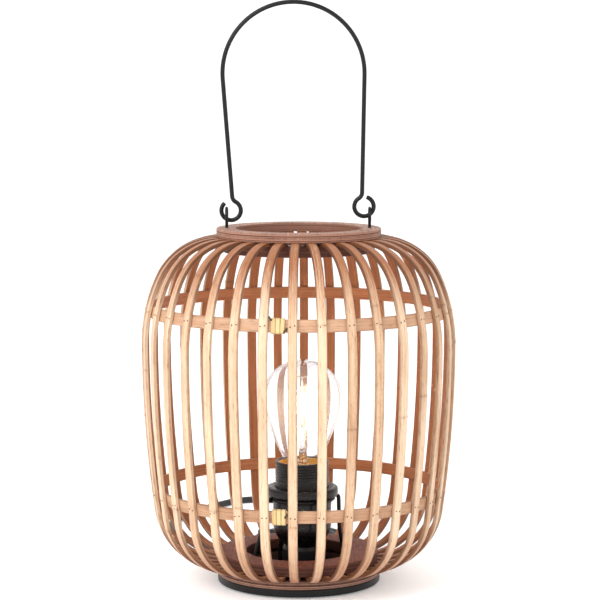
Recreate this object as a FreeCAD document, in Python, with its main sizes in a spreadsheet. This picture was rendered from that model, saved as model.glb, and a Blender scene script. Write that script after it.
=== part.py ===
import FreeCAD, Part
import math
import os
import re

import Sketcher

Vector, Placement, Rotation = FreeCAD.Vector, FreeCAD.Placement, FreeCAD.Rotation
Z_AXIS = Vector(0, 0, 1)

# A table lamp in a lantern's shape. A cage of bent bamboo ribs is clamped between
# two pairs of rings, stands on a black foot and hangs from a swinging wire bail.
# Millimetres. Origin at the bottom centre of the foot pads, +Z up, front towards -Y.
# Azimuths are degrees from the front (-Y), positive towards the right (+X).

# ---------------------------------------------------------------- driving sizes
SIZES = [
    # foot and the stack of rings that stands on it
    ("padHeight", 1.0, "rubber pads under the foot"),
    ("padRadius", 6.0, "rubber pad"),
    ("padRing", 48.0, "radius of the circle of pads"),
    ("footRadius", 60.0, "black foot plate"),
    ("footThick", 5.5, "black foot plate"),
    ("footRound", 1.2, "rounded rim of the foot plate"),
    ("nutPocket", 10.5, "radius of the pocket for the lower nut"),
    ("pocketDepth", 3.5, "depth of that pocket"),
    ("ringThick", 6.5, "two-ply outer rings"),
    ("plyGroove", 0.4, "depth and height of the line between the plies"),
    ("bottomRingOuter", 60.4, "lower outer ring"),
    ("bottomRingHole", 40.0, "lower outer ring"),
    ("bottomDiscOuter", 58.5, "lower inner ring, above the rib ends"),
    ("bottomDiscHole", 38.9, "lower inner ring"),
    ("bottomDiscHeight", 7.6, "lower inner ring"),
    ("bodyHeight", 262.5, "top face of the upper ring"),
    ("topRingOuter", 60.2, "upper outer ring"),
    ("topRingHole", 45.9, "upper outer ring"),
    ("topHoopOuter", 55.5, "upper inner ring, under the rib ends"),
    ("topHoopHole", 46.4, "upper inner ring"),
    ("topHoopHeight", 8.0, "upper inner ring"),
    # ribs
    ("ribCount", 34, "ribs round the cage"),
    ("ribFirst", -2.2, "azimuth of the first rib"),
    ("ribWidth", 6.6, "bamboo strip"),
    ("ribThick", 2.7, "bamboo strip"),
    ("ribEnd", 47.0, "radius of the ribs' inner ends"),
    ("ribLead", 0.3, "flat length past the rings before a rib bends"),
    ("shoulderRadius", 48.0, "upper shoulder of a rib"),
    ("shoulderTurn", 65.0, "angle that the shoulder turns through"),
    ("upperRadius", 118.0, "flank above the widest place"),
    ("lowerRadius", 48.0, "lower shoulder of a rib"),
    # hoops inside the ribs and the rattan that closes them
    ("hoopHeight", 8.7, "flat hoop strip"),
    ("hoopThick", 2.5, "flat hoop strip"),
    ("upperHoopZ", 199.2, "lower edge of the upper hoop"),
    ("lowerHoopZ", 64.5, "lower edge of the lower hoop"),
    ("hoopSeat", 0.05, "clearance of a hoop inside the ribs"),
    ("bindCount", 3, "rattan bands on each hoop"),
    ("bindWidth", 3.0, "one rattan band"),
    ("bindPitch", 3.2, "spacing of the bands"),
    ("bindThick", 1.0, "rattan"),
    ("bindGap", 0.15, "clearance of a band round the hoop"),
    # bail and its eyes
    ("wireRadius", 1.6, "bail wire"),
    ("archRadius", 51.5, "arch of the bail"),
    ("archHeight", 104.5, "centre of the arch above the pivot"),
    ("legTaper", 2.7, "degrees that each leg leans in"),
    ("hookSpan", 48.5, "centre of a hook from the middle"),
    ("hookRise", 6.4, "centre of a hook above the pivot"),
    ("hookRadius", 7.1, "wire centreline of a hook"),
    ("jogRadius", 5.0, "bend between leg and hook"),
    ("leftHookEnd", 46.0, "angle where the left hook ends"),
    ("rightHookEnd", 68.0, "angle where the right hook ends"),
    ("bailLean", 1.7, "degrees that the bail leans to the left"),
    ("bailShift", -0.7, "sideways place of the bail in its eyes"),
    ("pivotRise", 7.6, "pivot above the upper ring"),
    ("leftEyeSpan", 52.6, "plane of the left eye from the middle"),
    ("rightEyeSpan", 51.7, "plane of the right eye from the middle"),
    ("eyeWire", 1.1, "radius of the eye wire"),
    ("eyeRadius", 5.4, "wire centreline of an eye's loop"),
    ("eyeRise", 8.9, "centre of the loop above the ring"),
    ("eyeNeck", 1.2, "half the spacing of the eye's legs"),
    ("eyeBend", 3.0, "bend between the loop and its legs"),
    ("eyeSlack", 0.1, "clearance of the eye's legs in the ring"),
    # lampholder
    ("holderShift", 2.5, "lampholder off the cage's axis, to the right"),
    ("rimZ", 90.0, "mouth of the lampholder"),
    ("skirtRadius", 19.7, "threaded skirt"),
    ("mouthBore", 17.4, "mouth"),
    ("mouthDepth", 9.0, "mouth"),
    ("shellBore", 13.7, "bore for the lamp cap"),
    ("insertTop", 58.0, "top face of the contact insert"),
    ("shellBottom", 50.0, "joint of shell and dome"),
    ("flangeRadius", 21.4, "thick lower part of the shell"),
    ("flangeTop", 64.0, "top of that part"),
    ("domeStart", 42.0, "where the dome starts to curve in"),
    ("domeFoot", 27.5, "bottom of the dome"),
    ("domeFootRadius", 12.8, "bottom of the dome"),
    ("shellWall", 2.2, "wall of the dome"),
    ("fitGap", 0.2, "clearance between lampholder pieces"),
    ("shadeRingOuter", 26.5, "shade ring"),
    ("shadeRingHeight", 7.2, "shade ring"),
    ("shadeRingRound", 2.6, "rounded edge of the shade ring"),
    ("columnRadius", 14.5, "column under the lampholder"),
    ("columnChamfer", 1.6, "top edge of the column"),
    ("nippleRadius", 5.0, "threaded tube through the column"),
    ("nippleBore", 3.6, "threaded tube"),
    ("nutRadius", 8.5, "lock nuts"),
    ("nutThick", 2.4, "lock nuts"),
    # wire frame under the shade ring
    ("frameWire", 1.5, "radius of the frame's wire"),
    ("frameCollar", 23.1, "centreline of its collar"),
    ("frameDrop", 0.1, "gap between collar and shade ring"),
    ("frameElbow", 29.5, "radius of the legs' elbows"),
    ("frameShin", 31.5, "radius of the legs below the elbows"),
    ("frameShinZ", 38.0, "height of that place"),
    ("frameFoot", 36.6, "radius of the legs' feet"),
    ("frameKnee", 16.0, "height where a leg turns upright"),
    ("frameFirst", 23.0, "azimuth of the first leg"),
    ("frameLegs", 4, "legs"),
    # bulb
    ("bulbCentre", 135.1, "centre of the bulb's round part"),
    ("bulbRadius", 30.0, "bulb"),
    ("bulbFlank", 22.0, "angle where the round part ends"),
    ("glassWall", 0.9, "bulb"),
    ("neckZ", 99.0, "where the neck starts to curve"),
    ("neckRadius", 17.6, "bulb there"),
    ("glassFoot", 84.0, "joint of glass and cap"),
    ("glassFootRadius", 13.9, "bulb there"),
    ("capRadius", 13.2, "screw cap"),
    ("capFoot", 63.0, "lower end of the screw shell"),
    ("capTip", 58.8, "contact"),
    ("filamentCount", 4, "filament rods"),
    ("filamentRadius", 0.9, "filament rod"),
    ("filamentRing", 7.0, "radius of the circle of rods"),
    ("filamentTop", 152.0, "upper ends of the rods"),
    ("filamentBottom", 114.0, "lower ends of the rods"),
    # supply cord
    ("cordRadius", 2.75, "supply cord"),
    ("ductAzimuth", 148.0, "where the cord leaves the foot"),
    ("ductRadius", 4.6, "hole for the strain relief"),
    ("reliefRadius", 4.5, "strain relief inside the foot"),
    ("reliefTip", 3.5, "outer end of the strain relief"),
    ("reliefLength", 20.0, "strain relief outside the foot"),
    ("coilX", -2.0, "centre of the coil"),
    ("coilY", 99.5, "centre of the coil"),
    ("coilRadius", 34.5, "outermost turn"),
    ("coilPitch", 6.0, "spacing of the turns and of the two layers"),
    ("coilHalves", 5, "half turns in each layer"),
    ("coilStart", 150.0, "direction that the coil's lower end comes from"),
    ("coilExit", 165.0, "angle of the last part turn"),
    ("tieWidth", 4.0, "tie round the coil"),
    ("tieThick", 1.0, "tie round the coil"),
    # plug
    ("plugY", 186.0, "cord entry of the plug"),
    ("plugX", -2.0, "cord entry of the plug"),
    ("plugLength", 36.0, "plug body"),
    ("plugWidth", 35.0, "plug body"),
    ("plugHeight", 13.7, "plug body"),
    ("plugNeck", 10.0, "width at the cord end"),
    ("plugWaist", 22.0, "length of the full width"),
    ("pinRadius", 2.0, "pins"),
    ("pinLength", 19.0, "pins"),
    ("pinSpacing", 18.6, "pins"),
]

doc = FreeCAD.newDocument("LanternLamp")
sheet = doc.addObject("Spreadsheet::Sheet", "Sizes")
for row, (alias, value, note) in enumerate(SIZES, start=1):
    sheet.set(f"A{row}", note)
    sheet.set(f"B{row}", str(value))
    sheet.setAlias(f"B{row}", alias)
doc.recompute()
ALIASES = {alias for alias, value, note in SIZES}


def size(name):
    return float(sheet.get(name))


def formula(text):
    """An expression in the sheet's aliases, as the document spells it."""
    return re.sub(r"[A-Za-z]\w*", lambda m: f"Sizes.{m[0]}" if m[0] in ALIASES else m[0], str(text))


def number(text):
    """The value of such an expression."""
    found = sheet.evalExpression(formula(text))
    return float(getattr(found, "Value", found))


def bind(thing, **properties):
    for name, text in properties.items():
        thing.setExpression(name, formula(text))


# --------------------------------------------------------------- general helpers
def pin(sketch, piece, end, x, y):
    """Holds one end of a sketch's line or arc at x and y, given as formulas."""
    for kind, text, axis in (("DistanceX", x, -2), ("DistanceY", y, -1)):
        value = number(text)
        if abs(value) < 1e-9:
            sketch.addConstraint(Sketcher.Constraint("PointOnObject", piece, end, axis))
            continue
        at = sketch.addConstraint(Sketcher.Constraint(kind, -1, 1, piece, end, value))
        sketch.setExpression(f"Constraints[{at}]", formula(text))


def outline(sketch, corners):
    """A closed outline. A corner is (x, y), or (x, y, radius, bulge) where the side
    that follows it is an arc, bulge 1 or -1 telling its side."""
    points = [Vector(number(c[0]), number(c[1]), 0) for c in corners]
    sides = []
    for k, corner in enumerate(corners):
        a, b = points[k], points[(k + 1) % len(points)]
        if len(corner) == 2:
            sides.append(sketch.addGeometry(Part.LineSegment(a, b)))
            continue
        radius, middle, half = number(corner[2]), (a + b) / 2, (b - a).Length / 2
        across = Vector(b.y - a.y, a.x - b.x, 0).normalize() * corner[3]
        rise = radius - math.sqrt(radius * radius - half * half)
        sides.append(sketch.addGeometry(Part.Arc(a, middle + across * rise, b)))
    def end_at(k, point):
        """Which end of side k lies at a point, 1 or 2."""
        return 1 if (sketch.getPoint(sides[k], 1) - point).Length < 1e-6 else 2

    for k, corner in enumerate(corners):
        after = (k + 1) % len(corners)
        pin(sketch, sides[k], end_at(k, points[k]), corner[0], corner[1])
        sketch.addConstraint(Sketcher.Constraint(
            "Coincident", sides[k], end_at(k, points[after]), sides[after], end_at(after, points[after])))
        if len(corner) == 4:
            at = sketch.addConstraint(Sketcher.Constraint("Radius", sides[k], number(corner[2])))
            sketch.setExpression(f"Constraints[{at}]", formula(corner[2]))


def plane_of(body, role):
    return next(f for f in body.Origin.OriginFeatures if f.Role == role)


def sketch_in(body, name, role="XZ_Plane"):
    sketch = body.newObject("Sketcher::SketchObject", name)
    sketch.AttachmentSupport = [(plane_of(body, role), "")]
    sketch.MapMode = "FlatFace"
    return sketch


def lathe(label, corners, shift="0"):
    """A body turned about the vertical line at x = shift."""
    body = doc.addObject("PartDesign::Body", label)
    sketch = sketch_in(body, f"{label}_outline")
    outline(sketch, corners)
    turned = body.newObject("PartDesign::Revolution", f"{label}_turned")
    turned.Profile = sketch
    turned.ReferenceAxis = (sketch, ["V_Axis"])
    turned.Angle = 360
    body.Tip = turned
    if shift != "0":
        bind(body, **{"Placement.Base.x": shift})
    doc.recompute()
    return body


def cylinder(label, radius, height, **place):
    thing = doc.addObject("Part::Cylinder", label)
    bind(thing, Radius=radius, Height=height)
    bind(thing, **{f"Placement.Base.{axis}": text for axis, text in place.items()})
    return thing


def box(label, length, width, height, **place):
    thing = doc.addObject("Part::Box", label)
    bind(thing, Length=length, Width=width, Height=height)
    bind(thing, **{f"Placement.Base.{axis}": text for axis, text in place.items()})
    return thing


def cut(label, base, tool):
    thing = doc.addObject("Part::Cut", label)
    thing.Base, thing.Tool = base, tool
    return thing


def joined(label, kind, pieces):
    thing = doc.addObject(kind, label)
    if kind == "Part::Compound":
        thing.Links = pieces
    else:
        thing.Shapes = pieces
    return thing


def made(label, shape):
    thing = doc.addObject("Part::Feature", label)
    thing.Shape = shape
    return thing


def bearing(azimuth):
    """Unit vector along an azimuth."""
    turn = math.radians(azimuth)
    return Vector(math.sin(turn), -math.cos(turn), 0)


def corner_arc(start, corner, end):
    """The arc that leaves start towards corner and reaches end from it."""
    middle = (start + end) / 2
    half, depth = (end - start).Length / 2, (corner - middle).Length
    out = (corner - middle).normalize()
    centre = middle - out * (half * half / depth)
    return Part.Arc(start, centre + out * (start - centre).Length, end).toShape()


def rounded_path(points, radii):
    """Straight runs joined by tangent arcs, with the arc radius at each inner point."""
    edges, last = [], points[0]
    for before, here, after, radius in zip(points, points[1:], points[2:], radii):
        back, on = (before - here).normalize(), (after - here).normalize()
        turn = math.pi - back.getAngle(on)
        reach = radius * math.tan(turn / 2)
        start, end = here + back * reach, here + on * reach
        edges += [Part.LineSegment(last, start).toShape(), corner_arc(start, here, end)]
        last = end
    edges.append(Part.LineSegment(last, points[-1]).toShape())
    return edges


def wire_along(edges, radius):
    """A round wire whose centreline is the chain of edges."""
    path = Part.Wire(edges)
    first = edges[0]
    start = first.valueAt(first.FirstParameter)
    heading = first.tangentAt(first.FirstParameter)
    if first.Vertexes[0].Point.distanceToPoint(path.OrderedVertexes[0].Point) > 1e-6:
        start, heading = path.OrderedVertexes[0].Point, first.tangentAt(first.LastParameter) * -1
    section = Part.Wire([Part.makeCircle(radius, start, heading)])
    solid = path.makePipeShell([section], True, False)
    if solid.Volume < 0:
        solid.reverse()
    return solid


# ------------------------------------------------------------- heights in the stack
FOOT_TOP = "padHeight + footThick"
RIB_LOW = f"({FOOT_TOP} + ringThick)"
DISC_LOW = f"({RIB_LOW} + ribThick)"
RIB_HIGH = "(bodyHeight - ringThick)"
HOOP_HIGH = f"({RIB_HIGH} - ribThick)"


# ------------------------------------------------------------------------- foot
def foot():
    rim, low = "footRadius", "padHeight"
    plate = lathe("foot_turned", [
        ("nippleRadius + fitGap", f"{low} + pocketDepth"),
        ("nutPocket", f"{low} + pocketDepth"),
        ("nutPocket", low),
        (f"{rim} - footRound", low, "footRound", 1),
        (rim, f"{low} + footRound"),
        (rim, f"{FOOT_TOP} - footRound", "footRound", 1),
        (f"{rim} - footRound", FOOT_TOP),
        ("nippleRadius + fitGap", FOOT_TOP),
    ])
    hole = cylinder("foot_hole", "nippleRadius + fitGap", "bodyHeight", x="holderShift")
    bore = cut("foot_bored", plate, hole)
    pocket = cylinder("nut_pocket", "nutPocket", "padHeight + pocketDepth", x="holderShift")
    cut("foot_base", cut("foot_pocketed", bore, pocket), duct("foot_duct"))
    pads = []
    for k in range(4):
        pad = cylinder(f"pad_{k}", "padRadius", "padHeight")
        bind(pad, **{"Placement.Base.x": f"padRing * cos({45 + 90 * k})",
                     "Placement.Base.y": f"padRing * sin({45 + 90 * k})"})
        pads.append(pad)
    joined("foot_pads", "Part::Compound", pads)


def duct(label):
    """The round way that the strain relief takes through column, ring and foot."""
    hole = doc.addObject("Part::Cylinder", label)
    bind(hole, Radius="ductRadius", Height="bottomRingOuter + ringThick")
    bind(hole, **{"Placement.Base.z": FOOT_TOP})
    hole.Placement.Rotation = Rotation(Z_AXIS, bearing(size("ductAzimuth")))
    return hole


# ------------------------------------------------------------------------ rings
def two_ply(label, hole, rim, low):
    """A flat ring of two plies, with a fine line round its edge between them."""
    high, middle = f"({low} + ringThick)", f"({low} + ringThick / 2)"
    return lathe(label, [
        (hole, low), (rim, low), (rim, f"{middle} - plyGroove / 2"),
        (f"{rim} - plyGroove", middle), (rim, f"{middle} + plyGroove / 2"),
        (rim, high), (hole, high),
    ])


def rings():
    lower = two_ply("bottom_ring_turned", "bottomRingHole", "bottomRingOuter", f"({FOOT_TOP})")
    cut("bottom_ring", lower, duct("ring_duct"))
    lathe("bottom_inner_ring", [
        ("bottomDiscHole", DISC_LOW), ("bottomDiscOuter", DISC_LOW),
        ("bottomDiscOuter", f"{DISC_LOW} + bottomDiscHeight"),
        ("bottomDiscHole", f"{DISC_LOW} + bottomDiscHeight"),
    ])
    lathe("top_inner_ring", [
        ("topHoopHole", f"{HOOP_HIGH} - topHoopHeight"), ("topHoopOuter", f"{HOOP_HIGH} - topHoopHeight"),
        ("topHoopOuter", HOOP_HIGH), ("topHoopHole", HOOP_HIGH),
    ])
    upper = two_ply("top_ring_turned", "topRingHole", "topRingOuter", RIB_HIGH)
    slots = []
    for side, plane in (("left", "-leftEyeSpan"), ("right", "rightEyeSpan")):
        slots.append(box(f"eye_slot_{side}",
                         "2 * (eyeWire + eyeSlack)", "2 * (eyeNeck + eyeWire + eyeSlack)", "2 * ringThick",
                         x=f"{plane} - eyeWire - eyeSlack",
                         y="-(eyeNeck + eyeWire + eyeSlack)", z=f"{RIB_HIGH} - ringThick / 2"))
    cut("top_ring", upper, joined("eye_slots", "Part::MultiFuse", slots))


# ------------------------------------------------------------------------- ribs
def rib_arcs():
    """The outer face of a rib in the plane of radius and height, from the top down:
    centres, radii and joints of its four tangent arcs."""
    top, low = number(RIB_HIGH), number(RIB_LOW)
    start = Vector(number("topRingOuter + ribLead"), top, 0)
    turn = math.radians(size("shoulderTurn"))
    shoulder, upper, lower = size("shoulderRadius"), size("upperRadius"), size("lowerRadius")
    shoulder_centre = start - Vector(0, shoulder, 0)
    out = Vector(math.sin(turn), math.cos(turn), 0)
    upper_centre = shoulder_centre + out * (shoulder - upper)
    widest = upper_centre + Vector(upper, 0, 0)
    lower_centre = Vector(number("bottomDiscOuter + ribLead"), low + lower, 0)
    across, down = widest.x - lower_centre.x, widest.y - lower_centre.y
    belly = (across * across + down * down - lower * lower) / (2 * (across - lower))
    belly_centre = widest - Vector(belly, 0, 0)
    hip = belly_centre + (lower_centre - belly_centre).normalize() * belly
    return [
        (shoulder_centre, shoulder, start, shoulder_centre + out * shoulder),
        (upper_centre, upper, shoulder_centre + out * shoulder, widest),
        (belly_centre, belly, widest, hip),
        (lower_centre, lower, hip, lower_centre - Vector(0, lower, 0)),
    ]


def rib_radius(height, depth):
    """Radius of the surface that lies depth behind a rib's outer face."""
    for centre, radius, start, end in rib_arcs():
        if end.y <= height <= start.y:
            return centre.x + math.sqrt((radius - depth) ** 2 - (height - centre.y) ** 2)


def rib_face():
    """The side face of a rib: its outer line as a sketch, thickened inwards."""
    sketch = doc.addObject("Sketcher::SketchObject", "rib_line")
    sketch.Placement.Rotation = Rotation(Vector(1, 0, 0), 90)
    arcs = rib_arcs()
    top_end = Vector(size("ribEnd"), number(RIB_HIGH), 0)
    low_end = Vector(size("ribEnd"), number(RIB_LOW), 0)
    first = sketch.addGeometry(Part.LineSegment(top_end, arcs[0][2]))
    pieces = []
    for centre, radius, start, end in arcs:
        turn = [math.atan2(p.y - centre.y, p.x - centre.x) for p in (end, start)]
        pieces.append(sketch.addGeometry(
            Part.ArcOfCircle(Part.Circle(centre, Z_AXIS, radius), turn[0], turn[1])))
    last = sketch.addGeometry(Part.LineSegment(arcs[-1][3], low_end))

    def hold(*parts):
        return sketch.addConstraint(Sketcher.Constraint(*parts))

    # every arc runs anticlockwise, from its lower end, 1, to its upper end, 2
    pin(sketch, first, 1, "ribEnd", RIB_HIGH)
    hold("Horizontal", first)
    hold("Tangent", first, 2, pieces[0], 2)
    for upper, lower in zip(pieces, pieces[1:]):
        hold("Tangent", upper, 1, lower, 2)
    hold("Tangent", pieces[-1], 1, last, 1)
    pin(sketch, last, 2, "ribEnd", RIB_LOW)
    hold("Horizontal", last)
    for text, at in (
        ("topRingOuter + ribLead", hold("DistanceX", -1, 1, first, 2, arcs[0][2].x)),
        ("bottomDiscOuter + ribLead", hold("DistanceX", -1, 1, last, 1, arcs[-1][3].x)),
        ("shoulderRadius", hold("Radius", pieces[0], arcs[0][1])),
        ("upperRadius", hold("Radius", pieces[1], arcs[1][1])),
        ("lowerRadius", hold("Radius", pieces[3], arcs[3][1])),
        ("topRingOuter + ribLead + shoulderRadius * sin(shoulderTurn)",
         hold("DistanceX", -1, 1, pieces[0], 1, arcs[0][3].x)),
    ):
        sketch.setExpression(f"Constraints[{at}]", formula(text))
    hold("Horizontal", pieces[1], 3, pieces[1], 1)
    face = doc.addObject("Part::Offset2D", "rib_side")
    face.Source = sketch
    face.Mode, face.Join, face.Fill = "Skin", "Arc", True
    bind(face, Value="-ribThick")
    doc.recompute()
    return face


def ribs():
    face = rib_face()
    count = int(size("ribCount"))
    for k in range(count):
        rib = doc.addObject("Part::Extrusion", f"rib_{k + 1:02d}")
        rib.Base = face
        rib.DirMode, rib.Dir, rib.Solid, rib.Symmetric = "Custom", Vector(0, 1, 0), True, True
        bind(rib, LengthFwd="ribWidth")
        bind(rib, **{"Placement.Rotation.Angle": f"ribFirst + {k} * 360 / ribCount - 90"})


# ------------------------------------------------------------------------ hoops
def hoop(label, low_name):
    """A flat strip bent round inside the ribs, leaning as they lean there."""
    low = size(low_name)
    high = low + size("hoopHeight")
    inside = size("ribThick") + size("hoopSeat")
    a = Vector(rib_radius(low, inside), 0, low)
    b = Vector(rib_radius(high, inside), 0, high)
    inward = Vector(-(b - a).z, 0, (b - a).x).normalize() * size("hoopThick")
    section = Part.makePolygon([a, b, b + inward, a + inward, a])
    strip = made(label, Part.Face(section).revolve(Vector(), Z_AXIS, 360))
    return (a + b + inward) / 2, (b - a).normalize()


def hoops():
    """Both hoops, and the rattan bands that close each of them between two ribs."""
    bands = []
    step = 360 / size("ribCount")
    azimuth = size("ribFirst") - step / 2
    width, thick, gap = size("bindWidth"), size("bindThick"), size("bindGap")
    for label, low_name in (("upper_hoop", "upperHoopZ"), ("lower_hoop", "lowerHoopZ")):
        centre, up = hoop(label, low_name)
        deep, tall = size("hoopThick") + 2 * gap, size("hoopHeight") + 2 * gap
        lean = math.degrees(math.atan2(up.x, up.z))
        for k in range(int(size("bindCount"))):
            outer = Part.makeBox(deep + 2 * thick, width, tall + 2 * thick,
                                 Vector(-deep / 2 - thick, -width / 2, -tall / 2 - thick))
            rounding = [e for e in outer.Edges if abs(e.tangentAt(0).y) > 0.9]
            outer = outer.makeFillet(0.8 * thick, rounding)
            inner = Part.makeBox(deep, 2 * width, tall, Vector(-deep / 2, -width, -tall / 2))
            band = outer.cut(inner)
            aside = (k - (size("bindCount") - 1) / 2) * size("bindPitch") / centre.x
            turn = azimuth + math.degrees(aside) - 90
            band.Placement = Placement(Vector(), Rotation(Z_AXIS, turn)).multiply(
                Placement(centre, Rotation(Vector(0, 1, 0), lean)))
            bands.append(band)
    made("hoop_bindings", Part.makeCompound(bands))


# ------------------------------------------------------------------ bail and eyes
def hook_edges(hook, radius, bend, foot, along, end_angle):
    """The bend and the hook at the foot of a straight leg, in a plane, for a leg that
    runs along `along` and passes through foot, with the hook outside it."""
    inside = Vector(-1, 0, 0)
    side = Vector(along.z, 0, -along.x)
    if side.dot(inside) < 0:
        side = side * -1
    origin = foot + side * bend
    reach = origin - hook
    drop = reach.dot(along)
    span = radius + bend
    slide = -drop - math.sqrt(drop * drop - reach.dot(reach) + span * span)
    centre = origin + along * slide
    leave = centre - side * bend
    meet = hook + (centre - hook) * (radius / span)
    half = ((leave - centre).normalize() + (meet - centre).normalize()).normalize() * bend
    start_turn = math.atan2(meet.z - hook.z, meet.x - hook.x)
    end_turn = math.radians(end_angle) + 2 * math.pi
    arc = [Part.Arc(leave, centre + half, meet).toShape()]
    turns = [start_turn + (end_turn - start_turn) * k / 2 for k in range(3)]
    at = [hook + Vector(math.cos(t), 0, math.sin(t)) * radius for t in turns]
    middle = [hook + Vector(math.cos(t), 0, math.sin(t)) * radius
              for t in ((turns[0] + turns[1]) / 2, (turns[1] + turns[2]) / 2)]
    arc += [Part.Arc(at[0], middle[0], at[1]).toShape(), Part.Arc(at[1], middle[1], at[2]).toShape()]
    return leave, arc


def pivot_places():
    """Where the wire of each hook crosses the plane of its eye."""
    lean = math.radians(size("bailLean"))
    base = Vector(size("bailShift"), 0, number("bodyHeight + pivotRise"))
    found = []
    for side, plane in ((-1, -size("leftEyeSpan")), (1, size("rightEyeSpan"))):
        flat = Vector(side * size("hookSpan"), 0, size("hookRise"))
        centre = base + Vector(flat.x * math.cos(lean) - flat.z * math.sin(lean), 0,
                               flat.x * math.sin(lean) + flat.z * math.cos(lean))
        offset = plane - centre.x
        drop = math.sqrt(size("hookRadius") ** 2 - offset * offset)
        found.append(Vector(plane, 0, centre.z - drop))
    return found


def bail():
    """One wire: hook, leg, arch, leg and hook, in the plane of the two eyes."""
    arch = Vector(0, 0, size("archHeight"))
    taper = math.radians(size("legTaper"))
    out = Vector(math.cos(taper), 0, -math.sin(taper))
    along = Vector(-math.sin(taper), 0, -math.cos(taper))
    shoulder = arch + out * size("archRadius")
    hook = Vector(size("hookSpan"), 0, size("hookRise"))
    sides = []
    for end_angle in (size("rightHookEnd"), size("leftHookEnd")):
        leave, arcs = hook_edges(hook, size("hookRadius"), size("jogRadius"), shoulder, along, end_angle)
        sides.append([Part.LineSegment(shoulder, leave).toShape()] + arcs)
    flip = Placement(Vector(), Rotation(Z_AXIS, 180))
    left = [e.transformed(flip.toMatrix()) for e in sides[1]]
    crown = arch + Vector(0, 0, size("archRadius"))
    other = Vector(-shoulder.x, 0, shoulder.z)
    path = [e for e in reversed(left)] + [Part.Arc(other, crown, shoulder).toShape()] + sides[0]
    wire = wire_along(Part.__sortEdges__(path), size("wireRadius"))
    thing = made("bail", wire)
    thing.Placement = Placement(Vector(size("bailShift"), 0, number("bodyHeight + pivotRise")),
                                Rotation(Vector(0, 1, 0), -size("bailLean")))


def eyes():
    """Wire loops that stand in the upper ring, edge-on to the front."""
    low, top = number(RIB_HIGH), size("bodyHeight")
    loop, bend, neck = size("eyeRadius"), size("eyeBend"), size("eyeNeck")
    span = loop + bend
    height = math.sqrt(span * span - (neck + bend) ** 2)
    centre = Vector(0, 0, top + size("eyeRise"))
    solids = []
    for plane in (-size("leftEyeSpan"), size("rightEyeSpan")):
        corner = Vector(0, neck + bend, centre.z - height)
        leave = corner - Vector(0, bend, 0)
        meet = centre + (corner - centre) * (loop / span)
        half = ((leave - corner).normalize() + (meet - corner).normalize()).normalize() * bend
        flip = [Vector(0, -p.y, p.z) for p in (leave, corner + half, meet)]
        foot = Vector(0, neck, low + size("eyeSlack"))
        edges = [
            Part.LineSegment(foot, leave).toShape(),
            Part.Arc(leave, corner + half, meet).toShape(),
            Part.Arc(meet, centre + Vector(0, 0, loop), flip[2]).toShape(),
            Part.Arc(flip[2], flip[1], flip[0]).toShape(),
            Part.LineSegment(flip[0], Vector(0, -neck, foot.z)).toShape(),
        ]
        eye = wire_along(edges, size("eyeWire"))
        eye.translate(Vector(plane, 0, 0))
        solids.append(eye)
    made("bail_eyes", Part.makeCompound(solids))


# ------------------------------------------------------------------- lampholder
def lampholder():
    mouth = "(rimZ - mouthDepth)"
    lathe("lampholder_shell", [
        ("shellBore", "insertTop"), ("flangeRadius - shellWall", "insertTop"),
        ("flangeRadius - shellWall", "shellBottom"), ("flangeRadius", "shellBottom"),
        ("flangeRadius", "flangeTop"), ("skirtRadius", "flangeTop"), ("skirtRadius", "rimZ - 0.6"),
        ("skirtRadius - 0.6", "rimZ"), ("mouthBore", "rimZ"), ("mouthBore", mouth), ("shellBore", mouth),
    ], "holderShift")
    lathe("lampholder_dome", [
        ("nippleRadius + fitGap", "domeFoot"), ("domeFootRadius", "domeFoot", "flangeRadius - 2", 1),
        ("flangeRadius", "domeStart"), ("flangeRadius", "shellBottom"),
        ("flangeRadius - shellWall", "shellBottom"),
        ("flangeRadius - shellWall", "domeStart", "flangeRadius - 2 - shellWall", -1),
        ("domeFootRadius - 0.4", "domeFoot + shellWall"), ("nippleRadius + fitGap", "domeFoot + shellWall"),
    ], "holderShift")
    low, high = "flangeTop", "(flangeTop + shadeRingHeight)"
    lathe("shade_ring", [
        ("skirtRadius + fitGap", low), ("shadeRingOuter - shadeRingRound", low, "shadeRingRound", 1),
        ("shadeRingOuter", f"{low} + shadeRingRound"),
        ("shadeRingOuter", f"{high} - shadeRingRound", "shadeRingRound", 1),
        ("shadeRingOuter - shadeRingRound", high), ("skirtRadius + fitGap", high),
    ], "holderShift")
    lathe("contact_insert", [
        ("0", "shellBottom + fitGap"), ("flangeRadius - shellWall - fitGap", "shellBottom + fitGap"),
        ("flangeRadius - shellWall - fitGap", "insertTop - 2.5"), ("10", "insertTop - 2.5"),
        ("10", "insertTop - 1.5"), ("3", "insertTop - 1.5"), ("2.4", "capTip - fitGap"),
        ("0", "capTip - fitGap"),
    ], "holderShift")


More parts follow.
